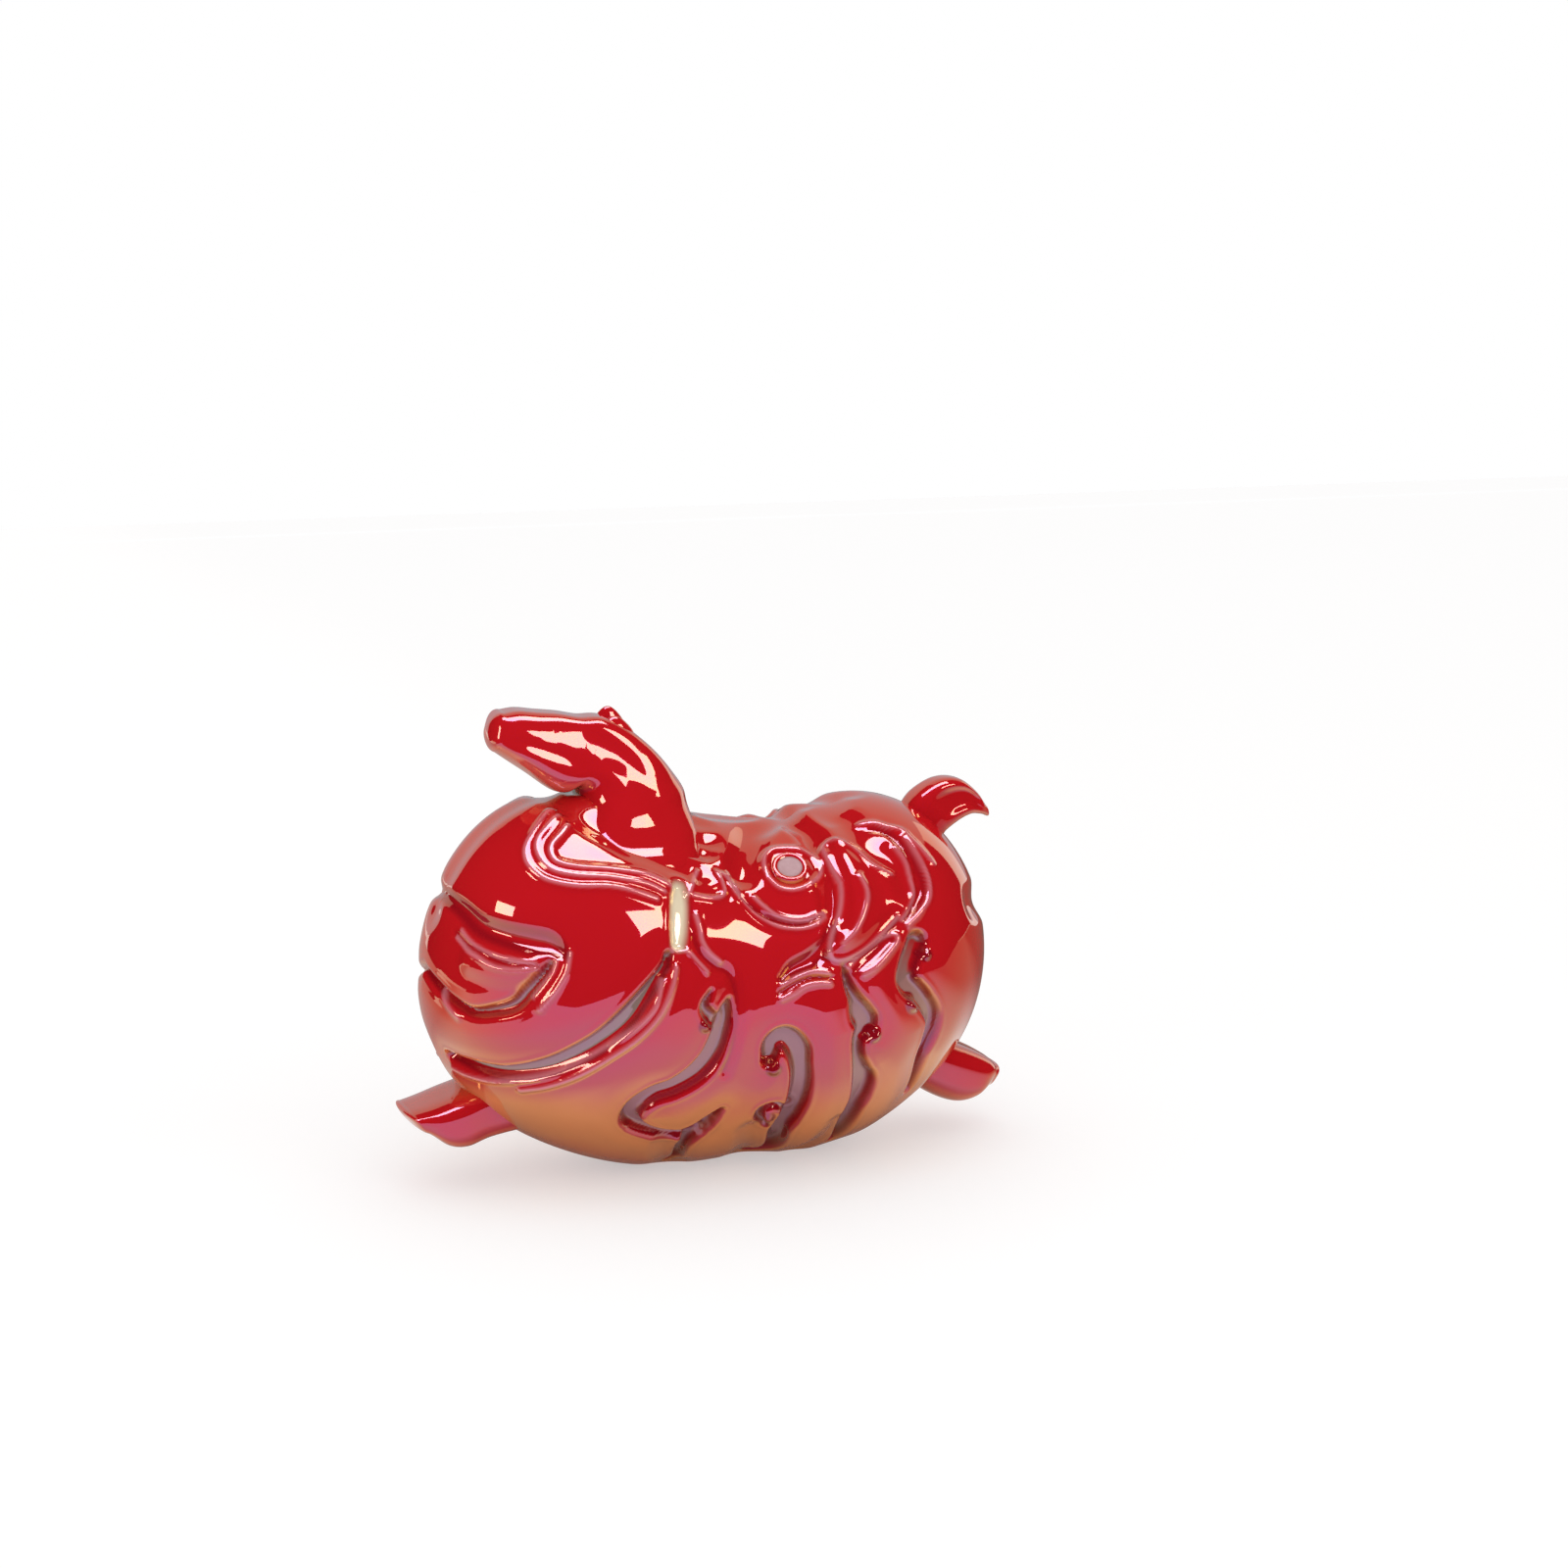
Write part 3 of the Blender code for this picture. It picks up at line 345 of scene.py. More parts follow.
def carved(points):
    """The lift at each point, and masks of painted reflection, shade, glint and highlights."""
    left = np.column_stack([points[:, 0], -np.abs(points[:, 1]), points[:, 2]])
    cuts, lips, swells, floor_reflections, painted_shade, painted_glint, painted_highlights = np.zeros((7, len(points)))
    for name, (depth, wall, dip, reach, lip, floor_reflection, path) in CHANNELS.items():
        apart = distance_to_path(left, path)
        bottom = ease(0.5 - apart / wall)
        beside = 1.0 - np.clip(apart / reach, 0.0, 1.0)
        cuts += (depth * bottom + dip * beside ** 2) ** MEETING
        lips = np.maximum(lips, lip * np.exp(-((apart - 0.5 * wall - LIP_WIDTH) / LIP_WIDTH) ** 2))
        # A painted reflection of the table on the channel's floor.
        floor_reflections = np.maximum(floor_reflections, floor_reflection * ease(1.6 * bottom - 0.6))
        # Painted shade on the channel's walls.
        walls = 4.0 * bottom * (1.0 - bottom)
        painted_shade = np.maximum(painted_shade, walls * min(depth / FULL_SHADE_DEPTH, 1.0))
        # The gutter's floor carries a painted glint of the warm softbox.
        if name == GUTTER:
            painted_glint = bottom
    for depth, wall, path in CREASES.values():
        apart = distance_to_path(left, path)
        share = np.clip(apart / wall, 0.0, 1.0)
        cuts += (depth * (1.0 - share) ** 2 * (1.0 + 0.6 * share)) ** MEETING
        # Painted shade along the bottom of a crease.
        painted_shade = np.maximum(painted_shade, CREASE_SHADE * depth * ease(1.0 - apart / CREASE_SHADE_WIDTH))
    for depth, wall, path in FOLDS.values():
        cuts += (depth * mound(distance_to_path(left, path) / wall)) ** MEETING
    for height, width, path in RIDGES.values():
        apart = distance_to_path(left, path)
        rise = height * mound(apart / width)
        if width > BROAD:
            swells += rise
        else:
            lips = np.maximum(lips, rise)
            # A painted highlight along the top of a thin ridge.
            painted_highlights = np.maximum(painted_highlights, ease((CREST_WIDTH - apart) / CREST_FADE))
    lift = lips + swells - cuts ** (1 / MEETING)
    for around, up, radius, height in CURLS:
        share = np.linalg.norm(left - seat_on(around, up), axis=1) / radius
        lift += height * bead(share)
        # No painted reflection on a curl, and a ring of painted shade round it.
        floor_reflections *= 1.0 - ease(2.0 * (1.2 - share))
        painted_shade = np.maximum(painted_shade, 0.9 * ease(3.0 * (1.25 - share)))
    around, up, radius, depth = NECK_DIP
    lift -= depth * bead(np.linalg.norm(left - seat_on(around, up), axis=1) / radius)
    return lift, floor_reflections, painted_shade, painted_glint, painted_highlights


def rub(shape, corners):
    """Smooths some corners of a shape once, as a damp sponge does."""
    bmesh.ops.smooth_vert(shape, verts=corners, factor=0.5, use_axis_x=True, use_axis_y=True,
                          use_axis_z=True)


def make_piece(name, shape, smooth_angle=None):
    """Turns a finished bmesh into an object at the origin."""
    bmesh.ops.recalc_face_normals(shape, faces=shape.faces[:])
    mesh = bpy.data.meshes.new(name)
    shape.to_mesh(mesh)
    shape.free()
    mesh.shade_smooth()
    if smooth_angle:
        mesh.set_sharp_from_angle(angle=np.radians(smooth_angle))
    piece = bpy.data.objects.new(name, mesh)
    bpy.context.collection.objects.link(piece)
    return piece


def give_layer(piece, name, values):
    """Stores a number for each corner of a piece, which its material reads by name."""
    layer = piece.data.attributes.new(name, "FLOAT", "POINT")
    layer.data.foreach_set("value", values)


CELLS = {"left": (256, 70, 160), "right": (170, 46, 106)}    # along X, Y and Z
FLAT = 1e-6                   # corners closer than this to the seam lie on it
BOX_STRETCH = np.array([1.5, 1.0, 1.0])    # the box is longer than wide, like the barrel
WIDTH_KEPT = 0.99             # keeps the lips within the part's width
SEAM_ANGLE = 50.0             # an edge sharper than this stays sharp
RUBS = 2                      # how often the carving is sponged


def half_box(sign, cells):
    """Half a box on one side of the seam, open at the seam and divided into cells."""
    box = bmesh.new()
    bmesh.ops.create_cube(box, size=2.0)
    for corner in box.verts:
        corner.co.y = sign if corner.co.y * sign > 0 else 0.0
    for axis, count in enumerate(cells):
        lengthwise = [edge for edge in box.edges
                      if abs(edge.verts[0].co[axis] - edge.verts[1].co[axis]) > FLAT]
        bmesh.ops.subdivide_edges(box, edges=lengthwise, cuts=count - 1, use_grid_fill=True)
    inner = [face for face in box.faces if all(abs(corner.co.y) < FLAT for corner in face.verts)]
    bmesh.ops.delete(box, geom=inner, context="FACES")
    return box


barrel_halves = {}
for side, sign in (("left", -1.0), ("right", 1.0)):
    skin = half_box(sign, CELLS[side])
    ways = np.array([corner.co[:] for corner in skin.verts])
    seam = np.abs(ways[:, 1]) < FLAT
    ways = np.tan(ways * np.pi / 4) * BOX_STRETCH
    ways /= np.linalg.norm(ways, axis=1, keepdims=True)
    smooth = on_barrel(ways)
    lift, floor_reflections, painted_shade, painted_glint, painted_highlights = carved(smooth)
    places = smooth + outward(smooth) * lift[:, None]
    places[:, 2] = np.maximum(places[:, 2], 0.0)
    places[:, 0] += SHIFT
    places[:, 1] *= WIDTH_KEPT
    places[seam, 1] = 0.0
    for corner, place in zip(skin.verts, places):
        corner.co = place * MM
    free = [corner for corner in skin.verts if not corner.is_boundary]
    for _ in range(RUBS):
        rub(skin, free)
    bmesh.ops.contextual_create(skin, geom=[edge for edge in skin.edges if edge.is_boundary])
    half = make_piece("glazed_half_" + side, skin, SEAM_ANGLE)
    give_layer(half, "floor_reflection_mask", floor_reflections)
    give_layer(half, "painted_shade_mask", painted_shade)
    give_layer(half, "painted_glint_mask", painted_glint)
    give_layer(half, "painted_highlight_mask", painted_highlights)
    barrel_halves[side] = half

# Red is the glaze's own colour. Rose, gold and brown are a painted reflection of the white table on
# surfaces that face down, brown where the table under the belly is shaded. The milky and lilac tones
# are a painted reflection in channel floors, the wine is painted shade, the pink painted highlight
# and the cream a painted glint of the warm softbox.
GLAZE_AND_PAINTED_LIGHT_COLOURS = {
    "Red": (0.64, 0.0095, 0.015, 1),
    "Rose": (0.57, 0.032, 0.058, 1),
    "Gold": (0.96, 0.33, 0.125, 1),
    "Umber": (0.98, 0.06, 0.012, 1),
    "Milk": (0.36, 0.25, 0.22, 1),
    "Lilac": (0.34, 0.20, 0.33, 1),
    "Shade wine": (0.24, 0.003, 0.012, 1),
    "Glint cream": (1.0, 0.86, 0.62, 1),
    "Highlight pink": (0.85, 0.32, 0.38, 1),
}
# These steps paint reflections of the table onto surfaces that face down.
ROSE_STEP = (0.12, -0.10)     # how far up a surface faces where a colour starts and is full
GOLD_STEP = (-0.16, -0.50)
UMBER_STEP = (-0.62, -0.98)
LILAC_STEP = (0.10, -0.35)
FLOOR_REFLECTION_STEP = (0.42, 0.16)
CLOUD_SCALE = 22.0            # the steps wander with clouds of about a twentieth of a metre
CLOUD_STRENGTH = 0.24
MASKS = {                     # the barrel's attribute for each mask, and its strength
    "Floor reflection mask": ("floor_reflection_mask", 0.85),
    "Painted shade mask": ("painted_shade_mask", 0.85),
    "Painted glint mask": ("painted_glint_mask", 1.0),
    "Painted highlight mask": ("painted_highlight_mask", 0.6),
}
GLAZE_FINISH = {
    "Roughness": 0.05,
    "IOR": 1.9,
    "Thin Film Thickness": 290.0,
    "Thin Film IOR": 1.4,
    "Coat Weight": 1.0,
    "Coat Roughness": 0.02,
    "Coat IOR": 1.72,
}


def lustre_and_painted_light_group():
    """The glaze's red with painted reflections, shade and highlights laid over it."""
    group = bpy.data.node_groups.new("lustre_and_painted_light", "ShaderNodeTree")
    face = group.interface
    for socket, value in GLAZE_AND_PAINTED_LIGHT_COLOURS.items():
        face.new_socket(socket, in_out="INPUT", socket_type="NodeSocketColor").default_value = value
    for socket in MASKS:
        face.new_socket(socket, in_out="INPUT", socket_type="NodeSocketFloat")
    face.new_socket("Colour", in_out="OUTPUT", socket_type="NodeSocketColor")
    nodes, links = group.nodes, group.links
    given = nodes.new("NodeGroupInput")
    result = nodes.new("NodeGroupOutput")
    coordinates = nodes.new("ShaderNodeTexCoord")
    cloud = nodes.new("ShaderNodeTexNoise")
    cloud.inputs["Scale"].default_value = CLOUD_SCALE
    cloud.inputs["Detail"].default_value = 2.0
    links.new(coordinates.outputs["Object"], cloud.inputs["Vector"])
    facing = nodes.new("ShaderNodeSeparateXYZ")
    links.new(coordinates.outputs["Normal"], facing.inputs[0])
    wander = nodes.new("ShaderNodeMath")
    wander.operation = "MULTIPLY_ADD"
    wander.inputs[1].default_value = CLOUD_STRENGTH
    links.new(cloud.outputs["Fac"], wander.inputs[0])
    links.new(facing.outputs["Z"], wander.inputs[2])

    def turned(ends):
        step = nodes.new("ShaderNodeMapRange")
        step.interpolation_type = "SMOOTHSTEP"
        step.inputs["From Min"].default_value = ends[0]
        step.inputs["From Max"].default_value = ends[1]
        links.new(wander.outputs[0], step.inputs["Value"])
        return step.outputs["Result"]

    def laid_over(under, over, mask):
        mix = nodes.new("ShaderNodeMix")
        mix.data_type = "RGBA"
        links.new(mask, mix.inputs["Factor"])
        links.new(under, mix.inputs["A"])
        links.new(over, mix.inputs["B"])
        return mix.outputs["Result"]

    # A painted reflection of the white table: rose, then gold, then brown where it is shaded.
    colour = laid_over(given.outputs["Red"], given.outputs["Rose"], turned(ROSE_STEP))
    colour = laid_over(colour, given.outputs["Gold"], turned(GOLD_STEP))
    colour = laid_over(colour, given.outputs["Umber"], turned(UMBER_STEP))
    # A painted reflection of the table in the channel floors, milky higher up and lilac lower down.
    floor_reflection = laid_over(given.outputs["Milk"], given.outputs["Lilac"], turned(LILAC_STEP))
    reflected_in_floor = nodes.new("ShaderNodeMath")
    reflected_in_floor.operation = "MULTIPLY"
    links.new(given.outputs["Floor reflection mask"], reflected_in_floor.inputs[0])
    links.new(turned(FLOOR_REFLECTION_STEP), reflected_in_floor.inputs[1])
    colour = laid_over(colour, floor_reflection, reflected_in_floor.outputs[0])
    # Painted shade in the folds and channel walls.
    colour = laid_over(colour, given.outputs["Shade wine"], given.outputs["Painted shade mask"])
    # Painted highlights along the thin ridges.
    colour = laid_over(colour, given.outputs["Highlight pink"], given.outputs["Painted highlight mask"])
    # A painted cream glint of the warm softbox in the gutter.
    colour = laid_over(colour, given.outputs["Glint cream"], given.outputs["Painted glint mask"])
    links.new(colour, result.inputs["Colour"])
    return group


lustre_and_painted_light = lustre_and_painted_light_group()


def lustre_glaze(name, tints=None, masks=True):
    """The red lustre glaze of one piece, with a thin clear film on top, and painted reflection and
    shade in its colour.
    """
    material = bpy.data.materials.new(name)
    material.use_nodes = True
    nodes, links = material.node_tree.nodes, material.node_tree.links
    shader = nodes["Principled BSDF"]
    for socket, value in GLAZE_FINISH.items():
        shader.inputs[socket].default_value = value
    colour = nodes.new("ShaderNodeGroup")
    colour.node_tree = lustre_and_painted_light
    links.new(colour.outputs["Colour"], shader.inputs["Base Color"])
    for socket, tint in (tints or {}).items():
        colour.inputs[socket].default_value = tint
    for socket, (layer_name, strength) in (MASKS if masks else {}).items():
        layer = nodes.new("ShaderNodeAttribute")
        layer.attribute_name = layer_name
        amount = nodes.new("ShaderNodeMath")
        amount.operation = "MULTIPLY"
        amount.inputs[1].default_value = strength
        links.new(layer.outputs["Fac"], amount.inputs[0])
        links.new(amount.outputs[0], colour.inputs[socket])
    return material


for side, half in barrel_halves.items():
    half.data.materials.append(lustre_glaze("lustre_half_" + side))
    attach(half, "root")
    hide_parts("body_" + side + "_half")


# The head and neck are one solid piece of clay, modelled with a sharp crown and a rounder
# jaw. It is stood on the shoulders with slip, turned a little, and glazed with the barrel.
NECK_SECTIONS = [             # back, up, half size along, lean, half width, squareness
    (-4.2, -38.4, 28, -1, 31, 2.9), (-4.7, -28.4, 29.5, -1, 34, 2.8),
    (-4.5, -21.4, 30, -1, 34.5, 2.7), (-4.1, -16.9, 29.8, -1, 32, 2.6),
    (-2.9, -13.9, 28.6, -1, 29, 2.5), (-0.5, -10.6, 26.2, -1, 26.3, 2.4),
    (1.5, -7, 23.9, -1, 23.7, 2.4), (3.2, -3.4, 21.7, 1, 21.7, 2.4),
    (4.4, 1, 19.5, 5, 19.2, 2.4), (1.9, 5.8, 17.4, 14, 16.8, 2.5), (-2.3, 11.1, 15.5, 28, 14.8, 2.7),
    (-7, 14.7, 14.6, 44, 13.3, 3.0), (-12.7, 16, 15.1, 63, 12.4, 3.3),
    (-18.2, 16.4, 14.1, 72, 12, 3.5), (-23.7, 17.9, 13.6, 81, 11.8, 3.4),
    (-30.7, 20.9, 11.4, 81, 11.8, 3.2), (-37.7, 23.8, 9.4, 79, 11.5, 3.0),
    (-42.7, 25.2, 7.4, 78, 10.4, 2.9),
]
NECK_CELLS = (160, 220)       # around and along
NECK_SEAT = seat_on(0, 66)
SNOUT_LENGTH = 4.5
TIP_SHARE = 0.1               # share of a piece's rings that round its tip off
HEAD_START = 0.50             # share of the way from the neck's root to the muzzle
NAPE_END = 0.45
CROWN_SHARPER = 2.8           # these three change a section's squareness
JAW_ROUNDER = 1.1
NAPE_SHARPER = 1.8
JAW_BROADER = 0.14
HEAD_TURN = 6.0
TURN_AXIS = NECK_SEAT[0] + NECK_SECTIONS[2][0]    # the middle of the broadest section
TURN_START = NECK_SEAT[2] - 20.0
TURN_END = NECK_SEAT[2] + 4.0
CHEEK_LINE = [                # along X, up
    (-90.0, 170.5), (-70.5, 166.0), (-61.0, 163.0), (-51.0, 159.0), (-41.5, 152.5),
    (-34.0, 145.0), (-28.5, 136.5), (-26.0, 128.0), (-25.0, 110.0),
]
CHEEK_STEPS = [               # step, how wide the slope, offset below the line
    (2.4, 13.0, 0.0), (1.1, 5.0, 8.5),
]
CHEEK_OUT = 0.7               # share of a step that stands out below its line
CHEEK_FRONT = (-78.0, 9.0)    # along X, where the steps begin, and how softly
CHEEK_FOOT = (122.0, 16.0)    # the same, up the neck
CHEEK_MIDDLE = 5.0            # this near the middle plane the steps fade
THROAT = (-47.5, 136.0, 18.0)     # along X, up, radius
THROAT_RUBS = 60
THROAT_SHRINK = 0.75          # share of the radius that the last rub leaves out


def section_at(sections, share):
    """A piece's section at each share of the way from its root to its last section."""
    table = np.asarray(sections, dtype=float)
    stations = np.clip(share, 0.0, 1.0) * (len(table) - 1)
    start = np.minimum(stations.astype(int), len(table) - 2)
    longer = run_on(table)
    return between(longer[start], longer[start + 1], longer[start + 2], longer[start + 3],
                   (stations - start)[:, None])


def head_edges(turn, share):
    """How much squarer the crown and nape are than their sections say, and the jaw less."""
    upper = np.maximum(np.cos(turn), 0.0)
    lower = np.minimum(np.cos(turn), 0.0)
    on_head = ease((share - HEAD_START) / 0.1)
    on_nape = ease((NAPE_END - share) / 0.15)
    return (CROWN_SHARPER * upper + JAW_ROUNDER * lower) * on_head + NAPE_SHARPER * upper * on_nape


def jaw_spread(share):
    """How much broader the jaw is than the crown, from the nape to the muzzle."""
    return JAW_BROADER * ease((share - HEAD_START) / 0.14)


def thumb_mark(off_middle, share):
    """How hard a thumb presses the flat of a piece, fading at its edges and ends."""
    lengthwise = ease((share - 0.3) / 0.2) * ease((0.95 - share) / 0.2)
    return ease((0.7 - off_middle) / 0.4) * lengthwise


def modelled(seat, sections, tip, cells, is_head=False, dish=0.0):
    """A solid drawn through sections in the middle plane, with a flat root and a round tip."""
    around, along = cells
    shape = bmesh.new()
    bmesh.ops.create_uvsphere(shape, u_segments=around, v_segments=along, radius=1.0)
    balls = np.array([corner.co[:] for corner in shape.verts])
    way = np.arccos(np.clip(balls[:, 2], -1.0, 1.0)) / np.pi
    turn = np.arctan2(balls[:, 1], balls[:, 0])
    root_share = 1.0 / along
    share = (way - root_share) / (1.0 - root_share - TIP_SHARE)
    back, up, half_size, lean, half_width, square = section_at(sections, share).T
    cap = np.clip((way - (1.0 - TIP_SHARE)) / TIP_SHARE, 0.0, 1.0) * np.pi / 2
    size = np.cos(cap) * np.sin(np.clip(way / root_share, 0.0, 1.0) * np.pi / 2)
    if is_head:
        square = square + head_edges(turn, share)
    corners = np.abs(np.cos(turn)) ** square + np.abs(np.sin(turn)) ** square
    round_off = corners ** (-1 / square)
    lengthwise = round_off * np.cos(turn)
    along_section = lengthwise * half_size * size
    across = round_off * np.sin(turn) * half_width * size
    if is_head:
        across *= 1.0 - jaw_spread(share) * lengthwise
    across *= 1.0 - dish * thumb_mark(np.abs(lengthwise), share)
    last, before = np.asarray(sections[-1][:2]), np.asarray(sections[-2][:2])
    heading = (last - before) / np.linalg.norm(last - before)
    advance = tip * np.sin(cap)
    lean = np.radians(lean)
    back = back + along_section * np.cos(lean) + advance * heading[0]
    up = up + along_section * np.sin(lean) + advance * heading[1]
    for corner, place in zip(shape.verts, seat + np.stack([back, across, up], axis=1)):
        corner.co = place
    bmesh.ops.remove_doubles(shape, verts=shape.verts[:], dist=1e-3)
    return shape


def turn_head(shape):
    """Turns what is above the shoulders a little about the neck, away from the button."""
    for corner in shape.verts:
        share = float(ease((corner.co.z - TURN_START) / (TURN_END - TURN_START)))
        angle = -np.radians(HEAD_TURN) * share
        ahead = corner.co.x - TURN_AXIS
        aside = corner.co.y
        corner.co.x = TURN_AXIS + ahead * np.cos(angle) - aside * np.sin(angle)
        corner.co.y = ahead * np.sin(angle) + aside * np.cos(angle)


def cheek_slopes(shape):
    """Sets the crown back from the cheek along two sloping lines that run down to the neck."""
    curve = through(CHEEK_LINE, 0.5)
    heading = np.gradient(curve, axis=0)
    heading /= np.linalg.norm(heading, axis=1, keepdims=True)
    for corner in shape.verts:
        offset = np.array([corner.co.x, corner.co.z]) - curve
        apart = np.hypot(offset[:, 0], offset[:, 1])
        near = int(np.argmin(apart))
        turn = heading[near, 0] * offset[near, 1] - heading[near, 1] * offset[near, 0]
        above = float(np.copysign(apart[near], turn))
        strength = float(ease((corner.co.x - CHEEK_FRONT[0]) / CHEEK_FRONT[1]))
        strength *= float(ease((corner.co.z - CHEEK_FOOT[0]) / CHEEK_FOOT[1]))
        strength *= min(abs(corner.co.y) / CHEEK_MIDDLE, 1.0)
        for step, width, below in CHEEK_STEPS:
            rise = CHEEK_OUT - ease(0.5 + (above + below) / width)
            corner.co.y += float(np.sign(corner.co.y)) * strength * step * rise


def smooth_throat(shape):
    """Rubs the folds out of the throat, most at its middle."""
    along, up, radius = THROAT
    reach = [(np.hypot(corner.co.x - along, corner.co.z - up), corner) for corner in shape.verts]
    for step in range(THROAT_RUBS):
        rubbed = radius * (1.0 - THROAT_SHRINK * step / THROAT_RUBS)
        rub(shape, [corner for apart, corner in reach if apart < rubbed])


def into_metres(shape):
    """Moves a shape made in millimetres about the heart into the frame."""
    bmesh.ops.translate(shape, verts=shape.verts[:], vec=(SHIFT, 0.0, 0.0))
    bmesh.ops.scale(shape, verts=shape.verts[:], vec=(MM, MM, MM))


neck = modelled(NECK_SEAT, NECK_SECTIONS, SNOUT_LENGTH, NECK_CELLS, is_head=True)
turn_head(neck)
cheek_slopes(neck)
smooth_throat(neck)
into_metres(neck)
# Underneath, the small pieces carry a painted reflection of the table in salmon, where the barrel's
# is gold
SALMON_UNDERSIDES = {"Gold": (0.80, 0.13, 0.10, 1), "Umber": (0.80, 0.10, 0.07, 1)}
head = make_piece("glazed_head", neck)
head.data.materials.append(lustre_glaze("lustre_head", SALMON_UNDERSIDES, masks=False))
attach(head, "root")
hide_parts("head_and_neck")


# The ears are two small blunt points of clay, pinched onto the corners of the crown
# before the glaze. The far one stands a little taller than the near one.
EAR_PLACES = {"left": -4.6, "right": 6.6}     # across the crown, from the middle plane
EAR_HEIGHTS = {"left": 6.4, "right": 8.35}
EAR_CELLS = (48, 32)
EAR_HALF_LENGTH = 7.2
EAR_HALF_THICKNESS = 3.4
EAR_TAPER = 0.38              # share of its foot's size that an ear loses toward its point
EAR_SINK = 4.6                # how deep an ear's middle is in the crown
EAR_SHARE = 0.68              # share of the way from the neck's root to the muzzle
crown_back, crown_up, crown_size, crown_lean = section_at(NECK_SECTIONS, np.array([EAR_SHARE]))[0, :4]
crown_x = NECK_SEAT[0] + crown_back + crown_size * np.cos(np.radians(crown_lean))
crown_z = NECK_SEAT[2] + crown_up + crown_size * np.sin(np.radians(crown_lean))
for side, height in EAR_HEIGHTS.items():
    shape = bmesh.new()
    bmesh.ops.create_uvsphere(shape, u_segments=EAR_CELLS[0], v_segments=EAR_CELLS[1], radius=1.0)
    for corner in shape.verts:
        narrowing = 1.0 - EAR_TAPER * max(corner.co.z, 0.0)
        corner.co.x *= EAR_HALF_LENGTH * narrowing
        corner.co.y *= EAR_HALF_THICKNESS * narrowing
        corner.co.z *= height
    bmesh.ops.translate(shape, verts=shape.verts[:],
                        vec=(crown_x, EAR_PLACES[side], crown_z - EAR_SINK))
    turn_head(shape)
    into_metres(shape)
    ear = make_piece("glazed_ear_" + side, shape)
    ear.data.materials.append(lustre_glaze("lustre_ear_" + side, SALMON_UNDERSIDES, masks=False))
    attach(ear, "root")
    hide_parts("ear_" + side)


# The tail and the two broad feet are rolled and flattened by hand from the same clay.
# They are luted to the barrel before the glaze. The tail has a dish pressed into its
# sides by a thumb, and the feet stand clear of the table.
TAIL_SECTIONS = [             # the same columns as the neck's sections
    (-8.5, -8.4, 9, -35, 7.5, 3.6), (-2.9, 1, 9.3, -39, 7.5, 3.6), (1, 5, 9.5, -51, 7.5, 3.6),
    (7.6, 8.4, 9, -61, 7.3, 3.4), (13.7, 8.9, 7.4, -70, 6.6, 3.2), (19, 6.3, 4.8, -78, 5.2, 2.8),
    (22.6, 3.1, 2.2, -86, 3.2, 2.5),
]
FRONT_FOOT_SECTIONS = [
    (18.9, 0.6, 9.4, 90, 15, 4.0), (2.9, -1.4, 9.6, 92, 15.5, 4.0), (-7.1, -4.1, 9.4, 98, 16.5, 4.0),
    (-15.2, -5.0, 7.8, 110, 16, 3.8), (-22.2, -3.4, 5.0, 126, 14, 3.4),
]
REAR_FOOT_SECTIONS = [
    (-4.6, 13.7, 10, 90, 15.5, 3.4), (9.4, 6.5, 11.2, 85, 16.5, 3.4), (19.4, 2.5, 10.8, 78, 17, 3.4),
    (27.4, 0.6, 8.6, 66, 16.5, 3.2), (31.8, 0.6, 5.4, 56, 14, 3.0),
]
TAIL_SEAT = seat_on(180, 31)
FRONT_FOOT_SEAT = seat_on(0, -22)
REAR_FOOT_SEAT = seat_on(180, -29)
LIMB_CELLS = (96, 96)
TAIL_TIP = 2.5
TOE_LENGTH = 4.0
TAIL_DISH = 0.28              # share of the tail's half width
for node, seat, sections, tip, dish in (
        ("tail", TAIL_SEAT, TAIL_SECTIONS, TAIL_TIP, TAIL_DISH),
        ("foot_front", FRONT_FOOT_SEAT, FRONT_FOOT_SECTIONS, TOE_LENGTH, 0.0),
        ("foot_rear", REAR_FOOT_SEAT, REAR_FOOT_SECTIONS, TOE_LENGTH, 0.0)):
    shape = modelled(seat, sections, tip, LIMB_CELLS, dish=dish)
    into_metres(shape)
    piece = make_piece("glazed_" + node, shape)
    piece.data.materials.append(lustre_glaze("lustre_" + node, SALMON_UNDERSIDES, masks=False))
    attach(piece, "root")
    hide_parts(node)


# The button is a low round disc of the same clay, stuck on the shoulder before the glaze.
# Its rim is glazed with the barrel, and its sunk face is left bare and plain.
BUTTON_SEAT = seat_on(120.5, 50.0)
BUTTON_RADIUS = 6.5
BUTTON_HEIGHT = 1.6
BUTTON_DEPTH = 5.6            # the whole disc, most of it inside the barrel
BUTTON_ROUND = 0.8
BUTTON_SIDES = 96
BUTTON_STEPS = [(0.7, 0.0), (0.5, -0.5), (0.6, -0.1)]    # width and drop, from the rim inward
BARE_TONES = [(0.40, 0.16, 0.17, 1), (0.50, 0.27, 0.27, 1)]
GRAIN_SCALE = 420.0
GRAIN_DEPTH = 0.0002          # in metres
disc = bmesh.new()
bmesh.ops.create_cone(disc, cap_ends=True, segments=BUTTON_SIDES, radius1=BUTTON_RADIUS,
                      radius2=BUTTON_RADIUS, depth=BUTTON_DEPTH)
rim = [edge for edge in disc.edges if min(corner.co.z for corner in edge.verts) > 0]
bmesh.ops.bevel(disc, geom=rim, offset=BUTTON_ROUND, segments=6, affect="EDGES", profile=0.5,
                material=-1)
face = max(disc.faces, key=lambda side: side.calc_center_median().z)
for width, drop in BUTTON_STEPS:
    ring = bmesh.ops.inset_region(disc, faces=[face], thickness=width, depth=drop)["faces"]
